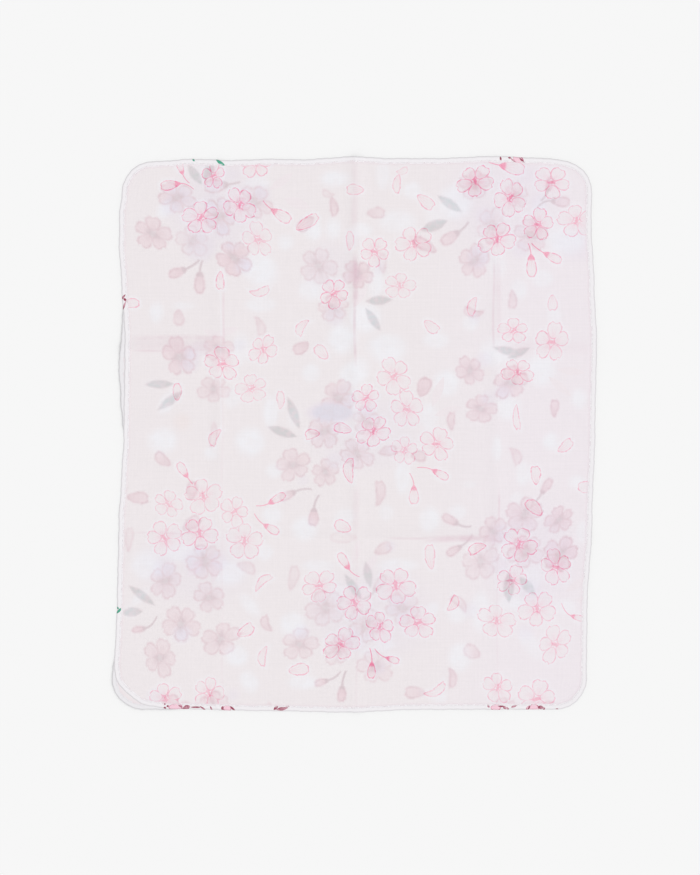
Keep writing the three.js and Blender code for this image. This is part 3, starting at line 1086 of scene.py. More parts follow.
@dataclass(frozen=True)
class Hem:
    """The narrow turned hem of one ply: a flattened roll with a groove where it is sewn, and its thread."""

    ply: Ply
    step: float = 1.0
    width: float = 3.5
    height: float = 0.95
    inner_drop: float = 0.3
    groove_at: float = 2.75
    groove_depth: float = 0.12
    groove_half_width: float = 0.32
    stitch_pitch: float = 2.6
    stitch_length: float = 2.0
    thread_radius: float = 0.17
    fold_radius: float = 1.0
    lip: float = 0.3
    floor_gap: float = 0.04
    stitch_rings: int = 7
    stitch_bow: float = 0.1
    stitch_end: float = 0.012

    over = (0.0, 0.12, 0.4, 0.9, 1.5, 2.05, 2.4, 2.6, 2.75, 2.9, 3.1, 3.32, 3.45, 3.5)
    under = (3.3, 2.4, 1.2, 0.3)

    @property
    def name(self) -> str:
        """Name of the piece."""
        return f"{self.ply.value}_hem"

    def path(self) -> tuple[Array, Array, Array, Array]:
        """The edge that the hem follows.

        Returns:
            The points on the edge, the directions along it and into the cloth, and the length run so far.
        """
        x, y = PANEL.border(self.step)
        edge = np.stack(PANEL.pulled(x, y, self.ply), axis=-1)
        ahead = np.roll(edge, -1, axis=0) - np.roll(edge, 1, axis=0)
        along = ahead / np.linalg.norm(ahead, axis=1, keepdims=True)
        steps = np.linalg.norm(np.roll(edge, -1, axis=0) - edge, axis=1)
        run = np.concatenate([[0.0], np.cumsum(steps)[:-1]])
        inward = np.stack([-along[:, 1], along[:, 0]], axis=-1)
        return edge, along, inward, run

    def top(self, inside: Array, run: Array) -> Array:
        """Height of the hem's upper face over its base.

        It rises as a quarter ellipse over the folded edge, falls by inner_drop towards the inner edge, dips
        in a bell-shaped groove at the stitches, and is uneven along the edge by two sines.

        Args:
            inside: distance in from the edge.
            run: length run along the edge.

        Returns:
            The height of each point.
        """
        fold, lip = (
            np.sqrt(1 - (1 - np.clip(share, 0, 1)) ** 2)
            for share in (inside / self.fold_radius, (self.width - inside) / self.lip)
        )
        body = self.height - self.inner_drop * (inside / self.width) ** 2
        groove = self.groove_depth * np.exp(-(((inside - self.groove_at) / self.groove_half_width) ** 2))
        stitch = 0.5 + 0.5 * np.cos(2 * math.pi * run / self.stitch_pitch)
        uneven = 1 + 0.05 * np.sin(run / 1.9) + 0.05 * np.sin(run / 0.83 + 1.3)
        middle = 0.5 * self.height
        return middle + (body * uneven - groove * (0.5 + 0.5 * stitch) - middle) * fold * lip

    def build(self, pattern: Print) -> bpy.types.Object:
        """Makes the roll: its profile carried round the edge.

        Args:
            pattern: what the hem shows of the print.

        Returns:
            The piece, without materials.
        """
        edge, _, inward, run = self.path()
        over, under = np.array(self.over), np.array(self.under)
        inside = np.concatenate([over, under])[None, :] + np.zeros((len(run), 1))
        wander = 0.1 * np.sin(run / 2.7) + 0.08 * np.sin(run / 0.9 + 0.7)
        place = edge[:, None, :] + (inside + wander[:, None])[..., None] * inward[:, None, :]
        upper = self.top(over[None, :], run[:, None])
        lower = np.full((len(run), len(under)), self.floor_gap)
        base = PANEL.base(edge[:, 0], edge[:, 1], self.ply)
        height = base[:, None] + np.concatenate([upper, lower], axis=1)
        points = np.concatenate([place, height[..., None]], axis=-1).reshape(-1, 3)
        quads = ring_quads(len(run), inside.shape[1])
        made = make_mesh(self.name, points, quads)
        for name, values in pattern.attributes(points[:, 0], points[:, 1], quads).items():
            put_attribute(made.data, name, "CORNER", values)
        threads = np.stack([inside, np.repeat(run[:, None], inside.shape[1], axis=1), 0 * inside], axis=-1)
        put_attribute(made.data, THREADS, "POINT", threads.reshape(-1, 3))
        return made

    def build_thread(self) -> bpy.types.Object:
        """Makes the sewing: one short bowed piece of thread for each stitch, joined in one mesh.

        A stitch is a tube of six sides. Its radius follows the root of a parabola, so that it closes at both
        ends, and its middle stands up by a parabola too.

        Returns:
            The piece, without materials.
        """
        edge, along, inward, run = self.path()
        count = int((run[-1] + self.step) / self.stitch_pitch)
        at = np.round(np.linspace(0, len(run), count, endpoint=False)).astype(int)
        rings, sides = self.stitch_rings, 6
        share = np.linspace(-1, 1, rings)
        angle = np.linspace(0, 2 * math.pi, sides, endpoint=False)
        swell = np.sqrt(1 - share**2) * self.thread_radius
        swell[[0, -1]] = self.stitch_end
        local_along = np.broadcast_to(share[:, None] * self.stitch_length / 2, (rings, sides))
        local_across = swell[:, None] * np.cos(angle)[None, :]
        local_up = swell[:, None] * np.sin(angle)[None, :] + self.stitch_bow * (1 - share[:, None] ** 2)
        foot = edge[at] + self.groove_at * inward[at]
        flat = foot[:, None, None, :] + local_along[None, ..., None] * along[at][:, None, None, :]
        flat = flat + local_across[None, ..., None] * inward[at][:, None, None, :]
        seat = self.top(np.full(count, self.groove_at), run[at]) + PANEL.base(*edge[at].T, self.ply)
        height = seat[:, None, None] + local_up[None]
        points = np.concatenate([flat, height[..., None]], axis=-1).reshape(-1, 3)
        ring, side = np.meshgrid(np.arange(rings - 1), np.arange(sides), indexing="ij")
        near, after = ring * sides + side, ring * sides + (side + 1) % sides
        tube = np.stack([near + sides, after + sides, after, near], axis=-1).reshape(-1, 4)
        first = np.array([[0, 5, 4, 3], [0, 3, 2, 1]])
        last = np.array([[0, 1, 2, 3], [0, 3, 4, 5]]) + (rings - 1) * sides
        one = np.concatenate([tube, first, last])
        quads = (one[None] + rings * sides * np.arange(count)[:, None, None]).reshape(-1, 4)
        return make_mesh(f"{self.name}_thread", points, quads)


class Graph:
    """A short way to lay nodes in one tree."""

    def __init__(self, tree: bpy.types.NodeTree) -> None:
        """Takes the tree to lay nodes in."""
        self.tree = tree

    def node(self, kind: str, **settings: object) -> bpy.types.Node:
        """Adds a node.

        Args:
            kind: the node's type.
            **settings: its own settings.

        Returns:
            The node.
        """
        made = self.tree.nodes.new(kind)
        for name, value in settings.items():
            setattr(made, name, value)
        return made

    def put(self, socket: Socket, value: Value | tuple) -> None:
        """Links a socket to another, or gives it a plain value."""
        if isinstance(value, bpy.types.NodeSocket):
            self.tree.links.new(value, socket)
        else:
            socket.default_value = value

    def feed(self, node: bpy.types.Node, **values: Value | tuple) -> None:
        """Fills inputs of a node by their names, which have _ for a space."""
        for name, value in values.items():
            self.put(node.inputs[name.replace("_", " ")], value)

    def math(self, operation: str, *values: Value) -> Socket:
        """One step of arithmetic.

        Args:
            operation: its name.
            *values: its one, two or three numbers.

        Returns:
            The result.
        """
        made = self.node("ShaderNodeMath", operation=operation)
        for socket, value in zip(made.inputs, values):
            self.put(socket, value)
        return made.outputs[0]

    def times(self, first: Value, second: Value) -> Socket:
        """One number times another."""
        return self.math("MULTIPLY", first, second)

    def plus(self, first: Value, second: Value) -> Socket:
        """One number plus another."""
        return self.math("ADD", first, second)

    def minus(self, first: Value, second: Value) -> Socket:
        """One number less another."""
        return self.math("SUBTRACT", first, second)

    def over(self, first: Value, second: Value) -> Socket:
        """One number over another."""
        return self.math("DIVIDE", first, second)

    def most(self, first: Value, second: Value) -> Socket:
        """The larger of two numbers."""
        return self.math("MAXIMUM", first, second)

    def least(self, first: Value, second: Value) -> Socket:
        """The smaller of two numbers."""
        return self.math("MINIMUM", first, second)

    def scaled(self, value: Value, factor: Value, offset: Value) -> Socket:
        """A number times a factor, plus an offset."""
        return self.math("MULTIPLY_ADD", value, factor, offset)

    def size_of(self, value: Value) -> Socket:
        """A number without its sign."""
        return self.math("ABSOLUTE", value)

    def run(self, value: Value, low: Value, high: Value, start: Value = 0.0, end: Value = 1.0) -> Socket:
        """Smooth run from start to end as a value goes from low to high.

        Args:
            value: the value.
            low: where the run starts.
            high: where it ends.
            start: the result up to low.
            end: the result from high on.

        Returns:
            The result.
        """
        made = self.node("ShaderNodeMapRange", interpolation_type="SMOOTHSTEP")
        self.feed(made, Value=value, From_Min=low, From_Max=high, To_Min=start, To_Max=end)
        return made.outputs["Result"]

    def either(self, share: Value, first: Value, second: Value) -> Socket:
        """A number between two.

        Args:
            share: 0 for the first, 1 for the second.
            first: a number.
            second: another.

        Returns:
            The number.
        """
        made = self.node("ShaderNodeMix", data_type="FLOAT")
        for number, value in ((0, share), (2, first), (3, second)):
            self.put(made.inputs[number], value)
        return made.outputs[0]

    def blend(self, share: Value, first: Socket | tuple, second: Socket | tuple) -> Socket:
        """A colour between two.

        Args:
            share: 0 for the first, 1 for the second.
            first: a colour.
            second: another.

        Returns:
            The colour.
        """
        made = self.node("ShaderNodeMix", data_type="RGBA")
        for number, value in ((0, share), (6, first), (7, second)):
            self.put(made.inputs[number], value)
        return made.outputs[2]

    def lay(self, under: Socket | tuple, mask: Socket, share: float, over: Colour) -> Socket:
        """A colour with another laid over it where a mask shows, at a share of full strength."""
        return self.blend(self.times(mask, share), under, linear(over))

    def shaded(self, colour: Socket, value: Value) -> Socket:
        """A colour made lighter or darker.

        Args:
            colour: the colour.
            value: what its value is taken times.

        Returns:
            The colour.
        """
        made = self.node("ShaderNodeHueSaturation")
        self.feed(made, Color=colour, Value=value)
        return made.outputs[0]

    def bump(self, height: Socket, strength: float, depth: float) -> Socket:
        """Normals that a height tilts.

        Args:
            height: the height, from 0 to 1.
            strength: how far it counts.
            depth: how deep it is, in millimetres.

        Returns:
            The normals.
        """
        made = self.node("ShaderNodeBump")
        self.feed(made, Strength=strength, Distance=depth * MM, Height=height)
        return made.outputs[0]

    def wave(self, value: Value, rate: float, start: Value, depth: float, middle: Value) -> Socket:
        """A number about a middle: depth times the sine of the value times the rate, plus the start."""
        phase = self.scaled(value, rate, start)
        return self.scaled(self.math("SINE", phase), depth, middle)

    def noise(self, vector: Socket, scale: float, detail: float) -> Socket:
        """Soft noise from 0 to 1.

        Args:
            vector: the place.
            scale: how fine the noise is.
            detail: how many finer layers it has.

        Returns:
            The noise.
        """
        made = self.node("ShaderNodeTexNoise")
        self.feed(made, Vector=vector, Scale=scale, Detail=detail)
        return made.outputs[0]

    def parts(self, vector: Socket) -> tuple[Socket, Socket, Socket]:
        """The three parts of a vector.

        Args:
            vector: the vector.

        Returns:
            The parts.
        """
        made = self.node("ShaderNodeSeparateXYZ")
        self.put(made.inputs[0], vector)
        return made.outputs[0], made.outputs[1], made.outputs[2]

    def attribute(self, name: str) -> tuple[Socket, Socket]:
        """First three parts of an attribute as a vector, and its fourth."""
        made = self.node("ShaderNodeAttribute", attribute_type="GEOMETRY", attribute_name=name)
        return made.outputs["Vector"], made.outputs["Alpha"]

    def group(self, tree: bpy.types.NodeTree, **values: Value) -> bpy.types.NodeOutputs:
        """Places a node group.

        Args:
            tree: the group.
            **values: what goes into its inputs, whose names have _ for a space.

        Returns:
            Its outputs.
        """
        made = self.node("ShaderNodeGroup", node_tree=tree)
        self.feed(made, **values)
        return made.outputs


def new_group(
    name: str, inputs: dict[str, str], outputs: dict[str, str]
) -> tuple[Graph, bpy.types.NodeOutputs, bpy.types.NodeInputs]:
    """Starts a shader node group.

    Args:
        name: the group's name.
        inputs: the kind of each input by its name.
        outputs: the kind of each output by its name.

    Returns:
        The graph to lay nodes in, the sockets of what comes in, and the sockets of what goes out.
    """
    tree = bpy.data.node_groups.new(name, "ShaderNodeTree")
    for way, sockets in (("INPUT", inputs), ("OUTPUT", outputs)):
        for socket, kind in sockets.items():
            tree.interface.new_socket(socket, in_out=way, socket_type=kind)
    graph = Graph(tree)
    return graph, graph.node("NodeGroupInput").outputs, graph.node("NodeGroupOutput").inputs


NUMBER = "NodeSocketFloat"
VECTOR = "NodeSocketVector"


def new_material(name: str) -> tuple[bpy.types.Material, Graph, bpy.types.Node]:
    """Starts a material.

    Args:
        name: its name.

    Returns:
        The material, the graph to lay nodes in, and its shader.
    """
    material = bpy.data.materials.new(name)
    material.use_nodes = True
    return material, Graph(material.node_tree), material.node_tree.nodes["Principled BSDF"]


def figure_group() -> bpy.types.NodeTree:
    """Group that draws one figure from its own coordinates.

    A blossom is folded onto its nearest petal by taking whole fifths of a turn off its angle. The length,
    width and turn of each petal vary a little, by sines of its number. A petal is an ellipse that widens
    towards its tip, with a wedge and small teeth taken out of the tip. A leaf is as wide as one less the
    square of its way along. The line is a soft band inside the outline, whose width follows noise as a
    brush's does. Veins are soft bands about the petal's middle and two rays beside it. Stamens are ten rays
    about the heart. A bud's calyx is a cone that opens from its stem. The ground is clear of colour in a
    narrow band outside the line.

    Returns:
        The group. It puts out the masks Line, Inside, Vein, Heart, Leaf, Stroke and Clear.
    """
    vectors = {name: VECTOR for name in ("Place", "Look")}
    numbers = {name: NUMBER for name in ("Half width", "Seed", "Line", "Soft")}
    outputs = {name: NUMBER for name in ("Line", "Inside", "Vein", "Heart", "Leaf", "Stroke", "Clear")}
    g, come, go = new_group("printed figure", vectors | numbers, outputs)
    # Rate and depth of the sines by which petals differ in turn, length, width and bite
    turn_vary, length_vary, width_vary, bite_vary = (3.1, 0.07), (2.3, 0.07), (1.9, 0.08), (2.9, 0.4)
    # How a petal widens to its tip, the half width of its wedge, and the rate and depth of its teeth
    widening, wedge_half, teeth_vary = 0.24, 0.3, (7.0, 0.35)
    # Slope of the rays beside a petal's middle, and the shares where a calyx starts and ends
    ray_slope, calyx_back, calyx_front = 0.24, -0.35, 0.6

    u, v, size = g.parts(come["Place"])
    kind, _, notch = g.parts(come["Look"])
    wide, soft, seed = come["Half width"], come["Soft"], come["Seed"]
    under_soft = g.times(soft, -1.0)
    is_blossom, is_bud, is_leaf, is_stroke = (
        g.math("COMPARE", kind, float(one), 0.1) for one in (Kind.BLOSSOM, Kind.BUD, Kind.LEAF, Kind.STROKE)
    )
    is_lens = g.plus(is_leaf, is_stroke)
    is_petal = g.minus(1.0, is_lens)
    shown = g.math("GREATER_THAN", kind, 0.5)

    fifth = 2 * math.pi / 5
    whole = g.math("ARCTAN2", v, u)
    number = g.math("ROUND", g.over(whole, fifth))
    angle = g.minus(whole, g.times(number, fifth))
    angle = g.wave(number, turn_vary[0], seed, turn_vary[1], angle)
    far = g.math("SQRT", g.plus(g.times(u, u), g.times(v, v)))
    out = g.over(far, size)
    radius = g.times(size, g.wave(number, length_vary[0], seed, length_vary[1], 1.0))
    folded = g.scaled(radius, -Figure.petal_middle, g.times(far, g.math("COSINE", angle)))
    along = g.either(is_blossom, u, folded)
    along = g.scaled(g.times(size, is_bud), -Figure.bud_middle, along)
    across = g.either(is_blossom, v, g.times(far, g.math("SINE", angle)))
    half = g.either(is_blossom, size, g.times(radius, Figure.petal_half))

    share = g.over(along, half)
    widen = g.scaled(g.least(g.most(share, -1.2), 1.2), widening, 1.0)
    own_width = g.times(wide, g.times(widen, g.wave(number, width_vary[0], seed, width_vary[1], 1.0)))
    side = g.over(across, own_width)
    squared = g.plus(g.times(share, share), g.times(side, side))
    wedge = g.run(g.size_of(side), 0.0, wedge_half, 1.0, 0.0)
    teeth = g.size_of(g.wave(side, teeth_vary[0], number, teeth_vary[1], 0.0))
    bite = g.times(g.plus(wedge, teeth), g.wave(number, bite_vary[0], seed, bite_vary[1], 0.75))
    cut = g.times(g.times(bite, g.run(share, 0.35, 1.0)), notch)
    squared = g.plus(squared, cut)
    slope_u = g.over(share, half)
    slope_v = g.over(side, own_width)
    slope = g.plus(g.times(slope_u, slope_u), g.times(slope_v, slope_v))
    slope = g.scaled(g.math("SQRT", slope), 2.0, 0.001)
    round_off = g.over(g.minus(squared, 1.0), slope)
    lens = g.times(wide, g.minus(1.0, g.times(share, share)))
    lens_off = g.minus(g.size_of(across), lens)
    off = g.either(is_lens, round_off, lens_off)

    inside = g.times(g.run(off, under_soft, soft, 1.0, 0.0), shown)
    laid = g.node("ShaderNodeCombineXYZ")
    g.feed(laid, X=u, Y=v, Z=seed)
    brush = g.run(g.noise(laid.outputs[0], 0.42, 2.0), 0.32, 0.66, 0.35, 1.35)
    pen = g.times(come["Line"], brush)
    band = g.minus(g.size_of(g.plus(off, come["Line"])), pen)
    line = g.times(g.run(band, under_soft, soft, 1.0, 0.0), shown)
    line = g.times(line, is_petal)

    from_base = g.plus(along, half)
    ray = g.size_of(g.scaled(from_base, -ray_slope, g.size_of(across)))
    nearest = g.least(g.size_of(across), ray)
    vein = g.run(nearest, 0.05, g.plus(soft, 0.14), 1.0, 0.0)
    vein = g.times(vein, g.run(share, -0.5, 0.5, 1.0, 0.0))
    ten = g.size_of(g.wave(whole, 5.0, seed, 1.0, 0.0))
    stamen = g.run(g.times(ten, far), 0.3, g.plus(soft, 0.9), 1.0, 0.0)
    stamen = g.times(stamen, g.run(out, 0.34, 0.48, 1.0, 0.0))
    glow = g.run(out, 0.1, 0.7, 0.45, 0.0)
    middle = g.times(g.most(stamen, glow), is_blossom)
    vein = g.times(g.times(g.most(vein, middle), inside), is_petal)

    spot = g.times(out, g.wave(whole, 2.0, seed, 0.35, g.wave(whole, 5.0, seed, 0.12, 1.0)))
    spot = g.run(spot, 0.06, g.scaled(soft, 0.22, 0.14), 1.0, 0.0)
    own_share = g.over(u, size)
    open_share = g.run(own_share, calyx_back, 0.45)
    calyx_half = g.scaled(g.times(wide, open_share), 0.62, 0.2)
    calyx = g.run(g.minus(g.size_of(v), calyx_half), under_soft, soft, 1.0, 0.0)
    calyx = g.times(calyx, g.run(own_share, 0.35, calyx_front, 1.0, 0.0))
    calyx = g.times(calyx, g.math("GREATER_THAN", own_share, calyx_back))
    stem = g.run(g.size_of(v), 0.12, g.plus(soft, 0.28), 1.0, 0.0)
    behind = g.run(own_share, -Figure.stem_reach, 0.15 - Figure.stem_reach)
    stem = g.times(g.times(stem, behind), g.math("LESS_THAN", u, 0.0))
    calyx = g.times(g.most(calyx, stem), is_bud)
    heart = g.most(g.times(spot, is_blossom), calyx)

    clear = g.times(g.run(off, 0.2, 2.2, 1.0, 0.0), g.times(shown, is_petal))
    masks = {
        "Line": line,
        "Inside": inside,
        "Vein": vein,
        "Heart": heart,
        "Leaf": g.times(inside, is_leaf),
        "Stroke": g.times(inside, is_stroke),
        "Clear": g.times(clear, g.run(off, -0.3, 0.3)),
    }
    for name, mask in masks.items():
        g.put(go[name], mask)
    return g.tree


def print_group(figure: bpy.types.NodeTree) -> bpy.types.NodeTree:
    """Group that draws the two figures of a face, one over the other.

    The lower figure is seen where the upper one isn't. Each figure's marks are as strong as its tone, and
    its fill as the square of it.

    Args:
        figure: the group that draws one.

    Returns:
        The group. It puts out the masks Line, Fill, Vein, Heart, Leaf, Stroke and Clear.
    """
    names = ("Line", "Fill", "Vein", "Heart", "Leaf", "Stroke", "Clear")
    g, come, go = new_group("print", {"Line": NUMBER, "Soft": NUMBER}, {name: NUMBER for name in names})
    drawn = []
    for place_name, look_name in ((UPPER_PLACE, UPPER_LOOK), (LOWER_PLACE, LOWER_LOOK)):
        place, wide = g.attribute(place_name)
        look, seed = g.attribute(look_name)
        pen = {"Line": come["Line"], "Soft": come["Soft"]}
        made = g.group(figure, Place=place, Half_width=wide, Look=look, Seed=seed, **pen)
        drawn.append((made, g.parts(look)[1]))
    (upper, upper_tone), (lower, lower_tone) = drawn
    uncovered = g.minus(1.0, g.most(upper["Inside"], upper["Heart"]))
    for name in names:
        own = "Inside" if name == "Fill" else name
        first = g.times(upper[own], upper_tone)
        second = g.times(lower[own], lower_tone)
        if name == "Fill":
            first, second = g.times(first, upper_tone), g.times(second, lower_tone)
        g.put(go[name], g.most(first, g.times(second, uncovered)))
    return g.tree


def weave_group() -> bpy.types.NodeTree:
    """Group for plain gauze: warp and weft threads a pitch apart, with gaps between and slubs along them.

    A thread's height is the cosine of its phase across it, and the two sets pass over and under by a
    product of two sines of half the phases. Slubs are noise drawn out along each set.

    Returns:
        The group. It puts out Height, Thread, which is 0 in the gaps, and Slub, from 0 to 1.
    """
    g, come, go = new_group(
        "gauze weave",
        {"Place": VECTOR, "Pitch": NUMBER},
        {"Height": NUMBER, "Thread": NUMBER, "Slub": NUMBER},
    )
    x, y, _ = g.parts(come["Place"])
    phases = [g.times(g.over(part, come["Pitch"]), 2 * math.pi) for part in (x, y)]
    ridges = [g.scaled(g.math("COSINE", phase), 0.5, 0.5) for phase in phases]
    halves = [g.math("SINE", g.times(phase, 0.5)) for phase in phases]
    over = g.scaled(g.times(*halves), 0.5, 0.5)
    slubs = []
    for scale in ((0.9, 0.035, 1.0), (0.035, 0.9, 1.0)):
        drawn = g.node("ShaderNodeMapping", vector_type="POINT")
        g.feed(drawn, Vector=come["Place"], Scale=scale)
        slubs.append(g.noise(drawn.outputs[0], 1.0, 3.0))
    g.put(go["Height"], g.either(over, ridges[0], ridges[1]))
    g.put(go["Thread"], g.run(g.most(*ridges), 0.15, 0.6))
    g.put(go["Slub"], g.times(g.plus(*slubs), 0.5))
    return g.tree


def cloud_group() -> bpy.types.NodeTree:
    """Group that makes a soft wash uneven: it is taken times a run of noise.

    Returns:
        The group. It puts out Mask, from 0 to 1, and Brush, an uneven strength for lines.
    """
    inputs, outputs = {"Place": VECTOR, "Wash": NUMBER}, {"Mask": NUMBER, "Brush": NUMBER}
    g, come, go = new_group("broken wash", inputs, outputs)
    uneven = g.run(g.noise(come["Place"], 0.15, 3.0), 0.3, 0.7, 0.7, 1.15)
    g.put(go["Mask"], g.least(g.times(uneven, come["Wash"]), 1.0))
    g.put(go["Brush"], g.run(g.noise(come["Place"], 0.3, 3.0), 0.34, 0.6, 0.5, 1.0))
    return g.tree


@dataclass(frozen=True)
class CreaseShadingMark:
    """Painted shade or light along a packing crease: its line, where it starts and ends, and how strong it
    is.
    """

    upright: bool
    line: float
    start: float
    end: float
    half_width: float
    strength: float


# Painted crease shading in the straight cloth: a mark of more than nothing is painted shade, darker than the
# cloth, and a mark of less than nothing is painted light, paler than the cloth
CREASE_SHADING_MARKS = (
    CreaseShadingMark(True, -82.5, 56, 92, 1.0, 0.5),
    CreaseShadingMark(True, -84.5, -4, 92, 0.8, -0.5),
    CreaseShadingMark(True, -83.5, -165, 30, 1.0, 0.15),
    CreaseShadingMark(True, 0.3, 84, 112, 2.2, 1.0),
    CreaseShadingMark(True, 0.3, 94, 108, 4.5, 0.7),
    CreaseShadingMark(True, 0.3, 45, 88, 1.3, 0.6),
    CreaseShadingMark(True, 0.0, 128, 171, 3.0, 0.3),
    CreaseShadingMark(True, 0.3, 4, 44, 2.5, -0.4),
    CreaseShadingMark(True, 1.0, -62, -34, 3.0, 0.25),
    CreaseShadingMark(True, 1.2, -170, -60, 1.0, 0.2),
    CreaseShadingMark(True, 87.9, 56, 109, 1.1, 0.5),
    CreaseShadingMark(True, 91.0, 60, 109, 2.4, 0.3),
    CreaseShadingMark(True, 91.0, -58, -36, 1.0, 0.5),
    CreaseShadingMark(True, 90.0, -168, -58, 1.0, 0.15),
    CreaseShadingMark(False, 61.0, -143, -84, 2.3, 0.4),
    CreaseShadingMark(False, 57.0, -143, -86, 6.5, 0.3),
    CreaseShadingMark(False, 53.2, -143, -90, 1.2, 0.45),
    CreaseShadingMark(False, 55.0, 92, 146, 6.0, 0.15),
    CreaseShadingMark(False, -62.3, -144, -98, 0.8, 0.35),
    CreaseShadingMark(False, -65.4, 22, 56, 1.1, 0.4),
    CreaseShadingMark(False, -66.0, 46, 92, 2.7, 0.7),
)


def crease_shading_group() -> bpy.types.NodeTree:
    """Group for one mark of painted crease shading: a bell across a line that wanders a little, eased in and
    out at its ends.

    Returns:
        The group. It puts out Mask.
    """
    names = ("Across", "Along", "Line", "Start", "End", "Half width")
    g, come, go = new_group("painted crease shading mark", {name: NUMBER for name in names}, {"Mask": NUMBER})
    across = g.minus(come["Across"], come["Line"])
    across = g.size_of(g.wave(come["Along"], 0.11, come["Line"], 0.35, across))
    bell = g.run(g.over(across, come["Half width"]), 0.1, 1.2, 1.0, 0.0)
    start = g.run(g.minus(come["Along"], come["Start"]), -5.0, 7.0)
    end = g.run(g.minus(come["End"], come["Along"]), -5.0, 7.0)
    g.put(go["Mask"], g.times(bell, g.times(start, end)))
    return g.tree


def lie_shading_group(fold: bpy.types.NodeTree) -> bpy.types.NodeTree:
    """Group for the painted shade and light of the cloth's lie, from the place in the straight cloth.

    Args:
        fold: the group of one mark of painted crease shading.

    Returns:
        The group. It puts out painted shade and painted light along the creases, painted shade in a band
        just inside the hem, and a share of painted light that runs from 0 in the middle to 1 near the right
        edge.
    """
    g, come, go = new_group(
        "painted shading of the cloth's lie", {"Place": VECTOR}, {name: NUMBER for name in ("Crease shade", "Crease light", "Hem edge shade", "Right")}
    )
    x, y, _ = g.parts(come["Place"])
    uneven = g.run(g.noise(come["Place"], 0.09, 2.0), 0.3, 0.7, 0.55, 1.15)
    # Painted shade along the creases, and painted light where a mark is less than nothing
    for name, sign in (("Crease shade", 1.0), ("Crease light", -1.0)):
        deepest: Value = 0.0
        for mark in CREASE_SHADING_MARKS:
            if mark.strength * sign < 0:
                continue
            across, along = (x, y) if mark.upright else (y, x)
            start, end = float(mark.start), float(mark.end)
            own = {"Line": mark.line, "Start": start, "End": end, "Half_width": mark.half_width}
            made = g.group(fold, Across=across, Along=along, **own)
            deepest = g.most(deepest, g.times(made["Mask"], abs(mark.strength)))
        g.put(go[name], g.times(deepest, uneven))
    from_side = g.minus(PANEL.width / 2, g.size_of(x))
    from_end = g.minus(PANEL.length / 2, g.size_of(y))
    inside = g.least(from_side, from_end)
    # Painted shade: a narrow band of cloth just inside the hem
    g.put(go["Hem edge shade"], g.run(inside, PANEL.hem_width, PANEL.hem_width + 1.5, 1.0, 0.0))
    # Painted light: a share that grows towards the right edge, where the ground is drawn lighter and cooler
    g.put(go["Right"], g.run(x, 20.0, 120.0))
    return g.tree


@dataclass(frozen=True)
class Groups:
    """The node groups that the materials share."""

    print: bpy.types.NodeTree
    weave: bpy.types.NodeTree
    cloud: bpy.types.NodeTree
    lie: bpy.types.NodeTree


